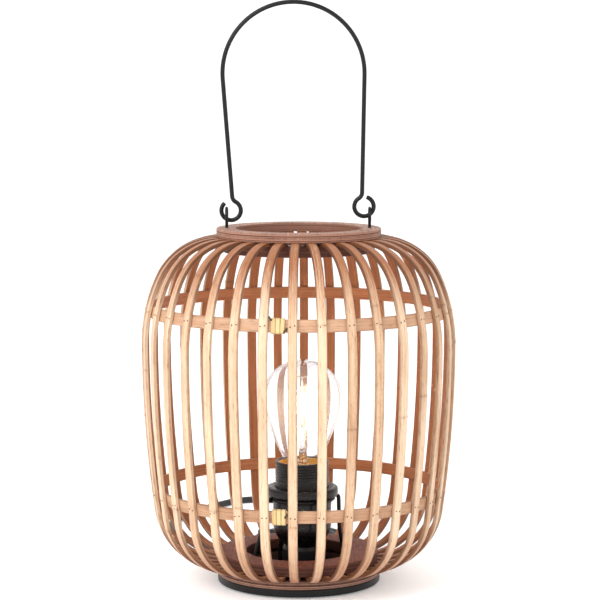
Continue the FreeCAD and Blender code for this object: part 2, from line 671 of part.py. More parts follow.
def column():
    """The spacer column, the threaded tube through it and the two lock nuts."""
    inside, foot_top = "nippleRadius + fitGap", f"({FOOT_TOP})"
    spacer = lathe("column_turned", [
        (inside, foot_top), ("columnRadius", foot_top), ("columnRadius", "domeFoot - columnChamfer"),
        ("columnRadius - columnChamfer", "domeFoot"), (inside, "domeFoot"),
    ], "holderShift")
    drilled = cut("column_drilled", spacer, duct("column_duct"))
    low = "(padHeight + pocketDepth)"
    upper = "(domeFoot + shellWall)"
    tube = lathe("threaded_tube", [
        ("nippleBore", f"{low} - nutThick - 0.6"), ("nippleRadius", f"{low} - nutThick - 0.6"),
        ("nippleRadius", f"{upper} + nutThick + 1"), ("nippleBore", f"{upper} + nutThick + 1"),
    ], "holderShift")
    nuts = []
    for name, bottom in (("lower_nut", f"{low} - nutThick"), ("upper_nut", upper)):
        nut = doc.addObject("Part::Prism", f"{name}_blank")
        nut.Polygon = 6
        bind(nut, Circumradius="nutRadius", Height="nutThick")
        bind(nut, **{"Placement.Base.x": "holderShift", "Placement.Base.z": bottom})
        thread = cylinder(f"{name}_thread", "nippleRadius + 0.05", "bodyHeight", x="holderShift")
        nuts.append(cut(name, nut, thread))
    joined("stem_column", "Part::Compound", [drilled, tube] + nuts)


def wire_frame():
    """A collar that the shade ring holds down, on four wire legs that stand on the foot."""
    wire = size("frameWire")
    high = size("flangeTop") - size("frameDrop") - wire
    low = number(FOOT_TOP)
    aside = Vector(size("holderShift"), 0, 0)
    collar = Part.makeTorus(size("frameCollar"), wire, aside + Vector(0, 0, high))
    elbow, foot, knee = size("frameElbow"), size("frameFoot"), size("frameKnee")
    pieces = [collar]
    for k in range(int(size("frameLegs"))):
        out = bearing(size("frameFirst") + 360 * k / size("frameLegs"))

        def at(radius, height):
            return out * radius + Vector(0, 0, height)

        points = [at(size("frameCollar"), high) + aside, at(elbow, high - 0.5) + aside,
                  at(size("frameShin"), size("frameShinZ")) + aside / 2, at(foot, knee), at(foot, low)]
        pieces.append(wire_along(rounded_path(points, [2.8, 60, 14]), wire))
    solid = pieces[0].fuse(pieces[1:]).removeSplitter()
    made("wire_frame", solid)


# ------------------------------------------------------------------------- bulb
def bulb():
    flank = math.radians(size("bulbFlank"))
    shoulder = size("bulbCentre") - size("bulbRadius") * math.sin(flank)

    def skin(inset):
        radius = f"(bulbRadius - {inset})"
        return [
            (f"glassFootRadius - {inset}", "glassFoot", "26", -1),
            (f"neckRadius - {inset}", "neckZ"),
            (f"{radius} * cos(bulbFlank)", f"bulbCentre - {radius} * sin(bulbFlank)", radius, 1),
            ("0", f"bulbCentre + {radius}"),
        ]

    outer, inner = skin("0"), skin("glassWall")
    corners = outer + [
        ("0", inner[3][1], inner[2][2], -1),
        (inner[2][0], inner[2][1]),
        (inner[1][0], inner[1][1], "26", 1),
        (inner[0][0], inner[0][1]),
    ]
    lathe("bulb_glass", corners, "holderShift")
    lathe("bulb_cap", [
        ("0", "capTip"), ("4", "capTip"), ("5", "capTip + 1.2"), ("capRadius - 2", "capFoot"),
        ("capRadius", "capFoot + 1"), ("capRadius", "glassFoot - 1"),
        ("capRadius - 0.6", "glassFoot"), ("0", "glassFoot"),
    ], "holderShift")
    top, bottom = size("filamentTop"), size("filamentBottom")
    ring, rod = size("filamentRing"), size("filamentRadius")
    pieces = [
        Part.makeCone(size("capRadius") - 3.5, 2.6, 14, Vector(0, 0, size("glassFoot"))),
        Part.makeCylinder(2.1, bottom - size("glassFoot") - 13, Vector(0, 0, size("glassFoot") + 13)),
        Part.makeCylinder(ring + 2 * rod, 1.6, Vector(0, 0, bottom - 0.8)),
        Part.makeCylinder(0.7, top - bottom, Vector(0, 0, bottom)),
        Part.makeCylinder(ring + 2 * rod, 1.6, Vector(0, 0, top - 0.8)),
    ]
    count = int(size("filamentCount"))
    for k in range(count):
        spot = bearing(45 + 360 * k / count) * ring
        pieces.append(Part.makeCylinder(rod, top - bottom, Vector(spot.x, spot.y, bottom)))
    stem = pieces[0].fuse(pieces[1:])
    stem.translate(Vector(size("holderShift"), 0, 0))
    made("bulb_filaments", stem)


# ------------------------------------------------------------------ supply cord
FLOOR_RUN = size("cordRadius")
# behind the lamp, from the strain relief to the coil: (x, y, height of the centre)
LEAD_ROUTE = [
    (50, 80, 6.1), (54, 96.5, 4.3), (51.5, 112.5, FLOOR_RUN), (41, 127, FLOOR_RUN),
    (29, 138.5, FLOOR_RUN), (21.5, 153, FLOOR_RUN), (20.5, 173, FLOOR_RUN), (22, 194, FLOOR_RUN),
    (21.5, 215, FLOOR_RUN), (16.5, 236, FLOOR_RUN), (6.5, 256, FLOOR_RUN), (-13.3, 280.6, FLOOR_RUN),
    (-32.8, 287.3, FLOOR_RUN), (-52.7, 281.9, FLOOR_RUN), (-68, 264, FLOOR_RUN), (-83, 243, FLOOR_RUN),
    (-96, 219, FLOOR_RUN), (-104.5, 194, FLOOR_RUN), (-105, 170, FLOOR_RUN), (-99.5, 146, FLOOR_RUN),
    (-89, 123, FLOOR_RUN), (-69.5, 101, FLOOR_RUN),
]
# from the coil to the plug
TAIL_ROUTE = [(13, 141.5, 8.5), (5, 153, 8.0), (0, 168, 7.2)]


def relief_end():
    out = bearing(size("ductAzimuth")) * number("bottomRingOuter + reliefLength")
    return Vector(out.x, out.y, number(FOOT_TOP))


def coil_edges():
    """Two layers of half turns: the lower one winds in, the climb is the innermost half
    turn, and the upper one winds out again and stops short of a half turn. Both ends run
    straight for one diameter."""
    pitch, half = size("coilPitch"), size("coilPitch") / 2
    count, diameter = int(size("coilHalves")), 2 * size("cordRadius")
    heading = math.radians(size("coilStart"))
    centre = Vector(size("coilX"), size("coilY"), size("cordRadius"))
    along = Vector(math.cos(heading), math.sin(heading), 0)
    axis = Vector(math.sin(heading), -math.cos(heading), 0)
    inward = [size("coilRadius") - half * k for k in range(count)]
    climb = inward[-1] - half
    outward = [climb + half * (k + 1) for k in range(count)]
    place, side = centre - axis * size("coilRadius"), -1
    entry = place + along * diameter
    edges = [Part.LineSegment(entry, place).toShape()]
    for k, radius in enumerate(inward + [climb] + outward[:-1]):
        end = place - axis * (2 * side * radius)
        if k == count:
            end = end + Vector(0, 0, pitch)
            reach = (end - place).Length / 2
            first, second = place + along * (side * reach), end + along * (side * reach)
            joint = (first + second) / 2
            edges += [corner_arc(place, first, joint), corner_arc(joint, second, end)]
        else:
            crest = (place + end) / 2 + along * (side * radius)
            edges.append(Part.Arc(place, crest, end).toShape())
        place, side = end, -side
    radius, turn = outward[-1], math.radians(size("coilExit"))
    middle = place - axis * (side * radius)

    def spot(angle):
        return middle + (axis * math.cos(angle) + along * math.sin(angle)) * (side * radius)

    edges.append(Part.Arc(place, spot(turn / 2), spot(turn)).toShape())
    leaving = edges[-1].tangentAt(edges[-1].LastParameter)
    out = spot(turn) + leaving * diameter
    edges.append(Part.LineSegment(spot(turn), out).toShape())
    return edges, entry, out


def turn_radii(points):
    """The arc at each inner point, as large as its two runs allow."""
    radii = []
    for before, here, after in zip(points, points[1:], points[2:]):
        turn = math.pi - (before - here).getAngle(after - here)
        shorter = min((here - before).Length, (after - here).Length)
        radii.append(0.45 * shorter / math.tan(turn / 2))
    return radii


def tube(label, points):
    radii = turn_radii(points)
    edges = rounded_path(points, radii)
    solid = wire_along(edges, size("cordRadius"))
    length = sum(e.Length for e in edges)
    section = math.pi * size("cordRadius") ** 2
    print(f"{label}: {length:.0f} mm, radii {min(radii):.1f} to {max(radii):.1f} mm,"
          f" volume {solid.Volume / (section * length):.4f} of section times length")
    made(label, solid)


def least_gap(edges):
    """The least gap between parts of the coil that aren't neighbours along it."""
    spots, run = [], 0.0
    for edge in edges:
        count = max(2, int(edge.Length / 1.5))
        for k in range(count):
            t = edge.FirstParameter + (edge.LastParameter - edge.FirstParameter) * k / count
            spots.append((run + edge.Length * k / count, edge.valueAt(t)))
        run += edge.Length
    apart = 8 * size("cordRadius")
    return min((a - b).Length for i, (s, a) in enumerate(spots)
               for t, b in spots[i + 1:] if t - s > apart) - 2 * size("cordRadius"), run


def cord():
    edges, entry, leaving = coil_edges()
    coil = wire_along(edges, size("cordRadius"))
    gap, length = least_gap(edges)
    print(f"cord_coil: {length:.0f} mm, least gap to itself {gap:.2f} mm, valid {coil.isValid()}")
    made("cord_coil", coil)
    tube("cord_lead", [relief_end()] + [Vector(*p) for p in LEAD_ROUTE] + [before_coil(entry), entry])
    plug_entry = Vector(size("plugX"), size("plugY") - 0.5, size("plugHeight") / 2)
    tube("cord_tail", [leaving] + [Vector(*p) for p in TAIL_ROUTE] + [plug_entry])


def before_coil(entry):
    """The last free point of the lead, straight behind the coil's entry."""
    heading = math.radians(size("coilStart"))
    return entry + Vector(math.cos(heading), math.sin(heading), 0) * 22


def relief():
    inner, rim = "columnRadius + holderShift + 1", "bottomRingOuter"
    body = doc.addObject("PartDesign::Body", "strain_relief")
    sketch = sketch_in(body, "relief_outline")
    outline(sketch, [
        ("0", inner), ("reliefRadius", inner), ("reliefRadius", f"{rim} + 3"),
        ("reliefTip", f"{rim} + reliefLength"), ("0", f"{rim} + reliefLength"),
    ])
    turned = body.newObject("PartDesign::Revolution", "relief_turned")
    turned.Profile, turned.ReferenceAxis, turned.Angle = sketch, (sketch, ["V_Axis"]), 360
    body.Tip = turned
    body.Placement = Placement(Vector(0, 0, number(FOOT_TOP)), Rotation(Z_AXIS, bearing(size("ductAzimuth"))))


def tie():
    """A flat tie round the bundle of turns, at its left side, where they are concentric."""
    pitch, cord_radius, thick = size("coilPitch"), size("cordRadius"), size("tieThick")
    turns, slack, width = (size("coilHalves") + 1) / 2, 0.7, size("tieWidth")
    outer = size("coilRadius") - pitch / 2 + cord_radius
    inner = outer - 2 * cord_radius - (turns - 1) * pitch
    wide, tall = outer - inner + 2 * slack, 2 * cord_radius + pitch + slack
    band = Part.makeBox(wide + 2 * thick, width, tall + thick, Vector(inner - slack - thick, -width / 2, 0))
    band = band.cut(Part.makeBox(wide, 2 * width, tall + thick, Vector(inner - slack, -width, -thick)))
    heading = math.radians(size("coilStart"))
    across = Vector(math.sin(heading), -math.cos(heading), 0)
    centre = Vector(size("coilX"), size("coilY"), 0) + across * (pitch / 2)
    band.Placement = Placement(centre, Rotation(Z_AXIS, size("coilStart")))
    made("cord_tie", band)


def plug():
    """A flat two-pin plug that lies behind the coil, its pins pointing away."""
    x, y = size("plugX"), size("plugY")
    length, wide, tall = size("plugLength"), size("plugWidth"), size("plugHeight")
    neck, waist = size("plugNeck"), size("plugWaist")
    radius = tall / 2 - 0.2
    plan = [(-neck / 2, 0), (neck / 2, 0), (wide / 2, length - waist), (wide / 2, length),
            (-wide / 2, length), (-wide / 2, length - waist)]
    corners = [Vector(px, py, 0) for px, py in plan]
    body = Part.Face(Part.makePolygon(corners + corners[:1])).extrude(Vector(0, 0, tall))
    upright = [e for e in body.Edges if abs(e.tangentAt(e.FirstParameter).z) > 0.9
               and e.Vertexes[0].Point.y > 1]
    body = body.makeFillet(radius / 2, upright)
    pieces = [body]
    for side in (-1, 1):
        base = Vector(side * size("pinSpacing") / 2, length - 1, tall / 2)
        pieces.append(Part.makeCylinder(size("pinRadius"), size("pinLength") + 1, base, Vector(0, 1, 0)))
    solid = pieces[0].fuse(pieces[1:])
    solid.translate(Vector(x, y, 0))
    made("plug", solid)


NODES = (
    [f"rib_{k + 1:02d}" for k in range(int(size("ribCount")))]
    + ["foot_base", "foot_pads", "bottom_ring", "bottom_inner_ring", "top_ring", "top_inner_ring",
       "upper_hoop", "lower_hoop", "hoop_bindings", "bail", "bail_eyes", "lampholder_shell",
       "lampholder_dome", "shade_ring", "contact_insert", "stem_column", "wire_frame", "bulb_glass",
       "bulb_cap", "bulb_filaments", "cord_lead", "cord_coil", "cord_tail", "cord_tie", "plug",
       "strain_relief"]
)


def export():
    doc.recompute()
    for thing in doc.Objects:
        if "Invalid" in thing.State or "Error" in thing.State:
            raise RuntimeError(f"{thing.Label} is {thing.State}")
    os.makedirs("parts", exist_ok=True)
    for name in NODES:
        shape = doc.getObject(name).Shape
        if shape.isNull() or not shape.isValid() or not shape.Solids:
            raise RuntimeError(f"{name} has no valid solid")
        shape.exportStep(f"parts/{name}.step")
    left, right = pivot_places()
    print("bail axis through", left, right)


foot()
rings()
ribs()
hoops()
bail()
eyes()
lampholder()
column()
wire_frame()
bulb()
cord()
relief()
tie()
plug()
export()
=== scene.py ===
import math
import random

import bmesh
import bpy
from mathutils import Matrix, Vector


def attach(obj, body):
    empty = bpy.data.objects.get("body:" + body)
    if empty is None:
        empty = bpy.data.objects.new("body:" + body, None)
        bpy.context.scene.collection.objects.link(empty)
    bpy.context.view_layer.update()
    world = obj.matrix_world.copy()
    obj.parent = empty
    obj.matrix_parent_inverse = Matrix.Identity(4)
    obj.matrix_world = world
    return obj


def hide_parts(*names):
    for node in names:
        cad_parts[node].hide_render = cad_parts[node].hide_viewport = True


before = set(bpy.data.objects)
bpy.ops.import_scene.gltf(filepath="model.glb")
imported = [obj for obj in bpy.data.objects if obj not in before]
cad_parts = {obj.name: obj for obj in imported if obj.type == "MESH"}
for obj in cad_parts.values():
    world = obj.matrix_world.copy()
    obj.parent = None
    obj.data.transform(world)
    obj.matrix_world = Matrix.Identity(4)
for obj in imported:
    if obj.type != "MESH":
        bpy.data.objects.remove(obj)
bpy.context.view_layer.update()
mm = 0.001
random.seed(34)
print("frame loaded")


def newObject(name, data):
    made = bpy.data.objects.new(name, data)
    bpy.context.scene.collection.objects.link(made)
    return made


# the photograph's own place and lens
camera = {"place": (0.0009, -1.638, 0.393), "pitch": 6.4,
          "lens": {"lens": 134.9, "sensor_width": 36, "clip_end": 50}}
cameraData = bpy.data.cameras.new("photoCamera")
for setting, value in camera["lens"].items():
    setattr(cameraData, setting, value)
cameraObject = newObject("photoCamera", cameraData)
cameraObject.location = camera["place"]
cameraObject.rotation_euler = (math.radians(90 - camera["pitch"]), 0, 0)
bpy.context.scene.camera = cameraObject
bpy.context.scene.view_settings.view_transform = "Standard"


class Wire:
    # one socket of a node tree, which can be used in sums
    def __init__(self, tree, socket):
        self.tree, self.socket = tree, socket

    def math(self, operation, other=None, turned=False):
        node = self.tree.nodes.new("ShaderNodeMath")
        node.operation = operation
        ends = [self] if other is None else [other, self] if turned else [self, other]
        for place, end in zip(node.inputs, ends):
            if isinstance(end, Wire):
                self.tree.links.new(end.socket, place)
            else:
                place.default_value = end
        return Wire(self.tree, node.outputs[0])

    def __add__(self, other):
        return self.math("ADD", other)

    def __sub__(self, other):
        return self.math("SUBTRACT", other)

    def __rsub__(self, other):
        return self.math("SUBTRACT", other, True)

    def __mul__(self, other):
        return self.math("MULTIPLY", other)

    def __pow__(self, other):
        return self.math("POWER", other)

    def clamped(self):
        return self.math("MAXIMUM", 0.0).math("MINIMUM", 1.0)


class Finish:
    # a material under construction, round one Principled shader
    def __init__(self, name, **sockets):
        self.material = bpy.data.materials.new(name)
        self.material.use_nodes = True
        self.tree = self.material.node_tree
        self.shader = next(n for n in self.tree.nodes if n.type == "BSDF_PRINCIPLED")
        self.set(**sockets)

    def set(self, **sockets):
        for name, value in sockets.items():
            place = self.shader.inputs[name.replace("_", " ")]
            self.give(place, value)

    def give(self, place, value):
        if isinstance(value, Wire):
            self.tree.links.new(value.socket, place)
        elif place.type == "RGBA" and len(value) == 3:
            place.default_value = (*value, 1)
        else:
            place.default_value = value

    def node(self, kind, settings=None, sockets=None, out=0):
        made = self.tree.nodes.new(kind)
        for name, value in (settings or {}).items():
            setattr(made, name, value)
        for name, value in (sockets or {}).items():
            self.give(made.inputs[name], value)
        return Wire(self.tree, made.outputs[out])

    def blend(self, share, first, second):
        # a colour Mix, whose colour sockets are numbers 6 and 7 in and number 2 out
        sockets = {0: share, 6: first, 7: second}
        return self.node("ShaderNodeMix", {"data_type": "RGBA"}, sockets, 2)

    def place(self):
        return self.node("ShaderNodeTexCoord", out="Object")

    def axisOf(self, vector, axis):
        return self.node("ShaderNodeSeparateXYZ", None, {0: vector}, axis)

    def vector(self, operation, sockets, out=0):
        return self.node("ShaderNodeVectorMath", {"operation": operation}, sockets, out)

    def stretched(self, vector, scales):
        return self.vector("MULTIPLY", {0: vector, 1: scales})

    def noise(self, vector, scale, detail=2.0, rough=0.5):
        return self.node("ShaderNodeTexNoise", None,
                         {"Vector": vector, "Scale": scale, "Detail": detail, "Roughness": rough})

    def attribute(self, name, out="Vector"):
        return self.node("ShaderNodeAttribute", {"attribute_name": name}, None, out)

    def bump(self, height, strength, distance=0.001):
        self.set(Normal=self.node("ShaderNodeBump", None, {
            "Height": height, "Strength": strength, "Distance": distance}))

    def outwardness(self):
        # 1 where a face looks away from the lamp's axis, -1 where it looks at it
        outward = self.vector("NORMALIZE", {0: self.stretched(self.place(), (1, 1, 0))})
        normal = self.node("ShaderNodeTexCoord", out="Normal")
        return self.vector("DOT_PRODUCT", {0: outward, 1: normal}, 1)


# side is the dark brown painted as shade along the strips' edges and on their flanks
bamboo = {
    "skin": (0.83, 0.60, 0.41), "skinDark": (0.46, 0.245, 0.125), "side": (0.15, 0.055, 0.022),
    "pith": (0.47, 0.165, 0.062), "pithDark": (0.22, 0.068, 0.025), "mark": (0.20, 0.09, 0.045),
    "ends": (0.36, 0.135, 0.055), "fleck": (0.21, 0.10, 0.05),
}
# four patterns of the cane, each with its scale across, along and from strip to strip, its
# detail and its roughness; the heights in metres where the bends start; where the painted edge
# shade starts
cane = {
    "patterns": (((2.3, 0.016, 7.3), 3.0, 0.6), ((0.75, 0.009, 5.1), 2.0, 0.5),
                 ((0.12, 0.02, 3.1), 2.0, 0.5), ((1.5, 0.13, 2.9), 4.0, 0.65)),
    "upperBend": 0.206, "lowerBend": 0.052, "edge": 2.3,
}


def bambooStrip(name, look):
    # a split strip: pale skin outside, browner inside, darker and browner towards both ends where
    # it bends, with painted shade along its edges and on its flanks
    finish = Finish(name, Specular_IOR_Level=0.35)
    strip = finish.attribute("strip")
    across, index = finish.axisOf(strip, 0), finish.axisOf(strip, 2)
    fine, broad, clouds, dashes = (
        finish.noise(finish.stretched(strip, scales), 1.0, detail, rough)
        for scales, detail, rough in cane["patterns"])
    tone = finish.node("ShaderNodeTexWhiteNoise", {"noise_dimensions": "1D"}, {"W": index})
    height = finish.axisOf(finish.place(), 2)

    wear = (fine * 0.9 + broad * 1.0 + clouds * 1.2 + dashes * 0.5 + tone * 0.6 - 1.76).clamped()
    skin = finish.blend(wear, look["skin"], look["skinDark"])
    upper = ((height - cane["upperBend"]) * 24.0).clamped()
    lower = ((cane["lowerBend"] - height) * 26.0).clamped()
    bends = upper + lower * 0.9
    # darker and browner towards both ends of the strip, in patches
    darkerTowardEnds = (bends * (broad * 1.6 + dashes * 1.4 - 0.45)).clamped()
    skin = finish.blend(darkerTowardEnds, skin, look["ends"])
    skin = finish.blend(((dashes - 0.575) * 7.0).clamped() * 0.75, skin, look["fleck"])
    # painted shade: darker lines along both edges of each strip, in patches and stronger near the
    # ends
    rim = ((across.math("ABSOLUTE") - cane["edge"]) * 1.8).clamped()
    rim = rim * (dashes * 0.7 + bends * 0.7)
    skin = finish.blend(rim * finish.attribute("edgeShade", "Fac"), skin, look["side"])

    depth = (fine * 1.1 + broad * 0.9 + dashes * 0.6 - 0.95).clamped()
    pith = finish.blend(depth, look["pith"], look["pithDark"])
    facing = finish.outwardness()
    colour = finish.blend((facing * -3.0 - 0.6).clamped(), skin, pith)
    # painted shade on the strip's flanks: slight at mid-height, much stronger near the ends
    flankShade = (1.0 - facing.math("ABSOLUTE") * 1.7).clamped() * finish.attribute("flank", "Fac")
    colour = finish.blend(flankShade * (bends * 0.85 + 0.12), colour, look["side"])
    mark = finish.attribute("mark", "Fac")
    colour = finish.blend((mark * (broad * 1.4 - 0.35)).clamped(), colour, look["mark"])
    finish.set(Base_Color=colour, Roughness=fine * 0.25 + 0.36)
    finish.bump(fine + mark * 0.5, 0.3, 0.0003)
    return finish.material


def plyWood(name, light, dark, plyLine, plies, side=None):
    # pressed bamboo plies: grain on the flat faces, layers on the rim and painted shade in the
    # bore
    finish = Finish(name, Specular_IOR_Level=0.3)
    place = finish.place()
    grain = finish.noise(finish.stretched(place, (900, 60, 300)), 1.0, 3.0, 0.6)
    clouds = finish.noise(place, 45.0, 2.0)
    layers = finish.node("ShaderNodeTexNoise", {"noise_dimensions": "1D"},
                         {"W": finish.axisOf(place, 2) * plies, "Scale": 1.0, "Detail": 1.0})
    colour = finish.blend((grain * 1.5 + clouds * 0.9 - 0.75).clamped(), light, dark)
    flat = finish.axisOf(finish.node("ShaderNodeTexCoord", out="Normal"), 2).math("ABSOLUTE")
    edge = ((layers * 3.0 - 1.2).clamped() * (1.0 - flat)).clamped()
    colour = finish.blend(edge, colour, plyLine)
    if side:
        colour = finish.blend((1.0 - flat * 1.5).clamped() * (1.0 - edge), colour, side)
    # painted shade: rim faces that look in toward the axis are darkened
    boreShade = (finish.outwardness() * -1.2).clamped() * (1.0 - flat).clamped()
    colour = finish.blend(boreShade * 0.75, colour, dark)
    finish.set(Base_Color=colour, Roughness=grain * 0.25 + 0.45)
    finish.bump(grain + layers, 0.2, 0.0004)
    return finish.material


def plain(name, colour, roughness, grainScale, depth, **more):
    # a moulded or painted surface with a fine texture in it
    finish = Finish(name, **more)
    place = finish.place()
    fine = finish.noise(place, grainScale, 3.0)
    broad = finish.noise(place, 60.0, 2.0)
    darker = tuple(0.6 * c for c in colour)
    finish.set(Base_Color=finish.blend(broad, colour, darker), Roughness=fine * 0.12 + roughness)
    finish.bump(fine, depth, 0.0002)
    return finish.material


# the middle of the lit rods in metres, how fast their bloom fades per metre, and its colour
bloom = {"height": 0.128, "fade": 25.0, "colour": (1.0, 0.86, 0.66), "strength": 0.13}


def clearGlass():
    # thin clear glass with a warm bloom round the lit rods
    finish = Finish("clearGlass", Base_Color=(0.93, 0.93, 0.95), Transmission_Weight=1.0,
                    IOR=1.45, Roughness=0.0, Emission_Strength=bloom["strength"])
    height = finish.axisOf(finish.place(), 2)
    away = ((height - bloom["height"]) * bloom["fade"]).math("ABSOLUTE")
    share = (1.0 - away).clamped() ** 1.3
    finish.set(Emission_Color=finish.blend(share, (0, 0, 0), bloom["colour"]))
    return finish.material


def glowing():
    # the lit rods, whiter in places
    finish = Finish("litRods", Base_Color=(1, 0.9, 0.7), Roughness=0.4, Emission_Strength=8.0)
    share = finish.noise(finish.place(), 400.0, 1.0)
    finish.set(Emission_Color=finish.blend(share, (1.0, 0.78, 0.42), (1.0, 0.92, 0.72)))
    return finish.material


hoopLook = dict(bamboo, skin=(0.62, 0.375, 0.235), skinDark=(0.33, 0.155, 0.075),
                pith=(0.56, 0.21, 0.085))
rattanLook = dict(bamboo, skin=(0.72, 0.55, 0.27), skinDark=(0.55, 0.37, 0.15),
                  pith=(0.6, 0.42, 0.2), pithDark=(0.45, 0.3, 0.14))
finishes = {
    "rib": bambooStrip("ribBamboo", bamboo),
    "hoop": bambooStrip("hoopBamboo", hoopLook),
    "topPly": plyWood("topPly", (0.52, 0.30, 0.22), (0.14, 0.06, 0.04), (0.08, 0.03, 0.017), 900,
                      (0.42, 0.20, 0.13)),
    "redPly": plyWood("redPly", (0.29, 0.092, 0.055), (0.09, 0.027, 0.016),
                      (0.12, 0.042, 0.025), 700, (0.055, 0.018, 0.01)),
    # its layer lines on the rim are light: a painted highlight along the lit ply edges
    "darkPly": plyWood("darkPly", (0.17, 0.07, 0.042), (0.03, 0.011, 0.007),
                       (0.44, 0.25, 0.18), 900),
    "rattan": bambooStrip("rattanBand", rattanLook),
    "knot": plain("rattanKnot", (0.10, 0.06, 0.03), 0.6, 900, 0.4),
    "foot": plain("footPaint", (0.007, 0.007, 0.0075), 0.36, 1500, 0.15, Specular_IOR_Level=0.28),
    "wire": plain("wirePaint", (0.007, 0.006, 0.0075), 0.3, 1400, 0.15, Specular_IOR_Level=0.3),
    "holder": plain("holderPlastic", (0.006, 0.0048, 0.005), 0.22, 700, 0.03,
                    Specular_IOR_Level=0.45),
    "cord": plain("cordSheath", (0.014, 0.014, 0.015), 0.45, 1200, 0.1),
    "plug": plain("plugBody", (0.014, 0.014, 0.015), 0.4, 1400, 0.2),
    "pad": plain("padRubber", (0.02, 0.02, 0.02), 0.8, 1600, 0.3),
    "brass": plain("brassMetal", (0.86, 0.52, 0.16), 0.22, 900, 0.05, Metallic=1.0),
    # the brass in the lampholder's mouth glows orange: a painted glow of the bulb's light on it
    "liner": plain("mouthBrassPaintedGlow", (0.90, 0.55, 0.17), 0.3, 900, 0.05, Metallic=1.0,
                   Emission_Color=(1.0, 0.45, 0.08), Emission_Strength=0.3),
    "steel": plain("brightMetal", (0.72, 0.71, 0.69), 0.22, 900, 0.05, Metallic=1.0),
    "staple": plain("stapleSteel", (0.09, 0.05, 0.03), 0.45, 900, 0.1, Metallic=0.4),
    "glass": clearGlass(),
    "rods": glowing(),
}
print("finishes made")


def buildMesh(name, shape, finish, nodes=(), body="lamp", layers=None):
    # a piece from points in millimetres and faces, with its slot, body and replaced nodes
    points, faces = shape
    data = bpy.data.meshes.new(name)
    data.from_pydata([(x * mm, y * mm, z * mm) for x, y, z in points], [], faces)
    for layer, values in (layers or {}).items():
        if layer == "strip":
            field = data.attributes.new(layer, "FLOAT_VECTOR", "POINT")
            field.data.foreach_set("vector", [n for v in values for n in v])
        else:
            data.attributes.new(layer, "FLOAT", "POINT").data.foreach_set("value", values)
    piece = newObject(name, data)
    work = bmesh.new()
    work.from_mesh(data)
    bmesh.ops.recalc_face_normals(work, faces=work.faces)
    work.to_mesh(data)
    work.free()
    data.shade_smooth()
    data.materials.append(finishes[finish])
    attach(piece, body)
    if nodes:
        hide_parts(*nodes)
    return piece


def rounded(corners, radius, steps=3):
    # a closed outline with its corners rounded; a corner may carry its own radius
    out = []
    count = len(corners)
    for k in range(count):
        before, here, after = (Vector(corners[(k + d) % count][:2]) for d in (-1, 0, 1))
        own = corners[k][2] if len(corners[k]) > 2 else radius
        back, on = before - here, after - here
        reach = min(own, back.length * 0.45, on.length * 0.45)
        if own <= 0 or reach < 1e-4:
            out.append(tuple(here))
            continue
        start, end = here + back.normalized() * reach, here + on.normalized() * reach
        for s in range(steps + 1):
            t = s / steps
            out.append(tuple(start.lerp(here, t).lerp(here.lerp(end, t), t)))
    return out


def between(low, high):
    # the faces between two rings of as many points
    count = len(low)
    return [(low[s], low[(s + 1) % count], high[(s + 1) % count], high[s]) for s in range(count)]


def stacked(rows, count, closed=False):
    # the faces of a skin through rows of count points, with both ends shut unless it is closed
    rings = [range(k * count, (k + 1) * count) for k in range(rows)]
    faces = []
    for low, high in zip(rings, rings[1:] + rings[:1] if closed else rings[1:]):
        faces += between(low, high)
    if not closed:
        faces += [tuple(rings[0])[::-1], tuple(rings[-1])]
    return faces


def circle(radius, height, segments, shift):
    turns = (2 * math.pi * s / segments for s in range(segments))
    return [(shift + radius * math.cos(turn), radius * math.sin(turn), height) for turn in turns]


def lathe(name, outline, finish, nodes=(), segments=96, shift=0.0, body="lamp"):
    # turns a closed outline of radius and height about the upright axis
    points, faces, rings = [], [], []
    for radius, height in outline:
        onAxis = abs(radius) < 1e-6
        row = [(shift, 0, height)] if onAxis else circle(radius, height, segments, shift)
        rings.append(range(len(points), len(points) + len(row)))
        points += row
    for low, high in zip(rings, rings[1:] + rings[:1]):
        if len(low) > 1 and len(high) > 1:
            faces += between(low, high)
        elif len(low) > 1:
            faces += [(low[s], low[(s + 1) % segments], high[0]) for s in range(segments)]
        elif len(high) > 1:
            faces += [(low[0], high[(s + 1) % segments], high[s]) for s in range(segments)]
    return buildMesh(name, (points, faces), finish, nodes, body)


def sleeve(name, box, finish, nodes, bevel=0.5, segments=144, shift=0.0):
    # a turned ring whose section is a box of hole, rim, low and high
    hole, rim, low, high = box
    outline = rounded([(hole, low), (rim, low), (rim, high), (hole, high)], bevel)
    lathe(name, outline, finish, nodes, segments, shift)


def roundSection(spot, side, other, size, sides):
    turns = (2 * math.pi * s / sides for s in range(sides))
    return [tuple(spot + side * math.cos(turn) * size + other * math.sin(turn) * size)
            for turn in turns]


def tubeMesh(path, radius, closed=False, sides=16):
    # a round wire along points, its section carried along without twist, its ends rounded
    route = [Vector(p) for p in path]
    count = len(route)
    heading = []
    for k in range(count):
        ahead = route[(k + 1) % count] if closed or k < count - 1 else route[k]
        behind = route[k - 1] if closed or k else route[k]
        heading.append((ahead - behind).normalized())
    across = heading[0].orthogonal().normalized()
    stations = []
    for k in range(count):
        across = (across - heading[k] * across.dot(heading[k])).normalized()
        stations.append((route[k], across.copy(), heading[k].cross(across), radius))
    if not closed:
        for at, way in ((0, -1), (-1, 1)):
            spot, side, other, _ = stations[at]
            caps = [(spot + heading[at] * way * radius * rise, side, other, radius * share)
                    for rise, share in ((0.25, 0.9), (0.42, 0.6))]
            stations = caps[::-1] + stations if way < 0 else stations + caps
    points = [point for station in stations for point in roundSection(*station, sides)]
    return points, stacked(len(stations), sides, closed)


def gather(parts):
    # several point and face lists as one
    points, faces = [], []
    for somePoints, someFaces in parts:
        base = len(points)
        points += somePoints
        faces += [tuple(i + base for i in face) for face in someFaces]
    return points, faces


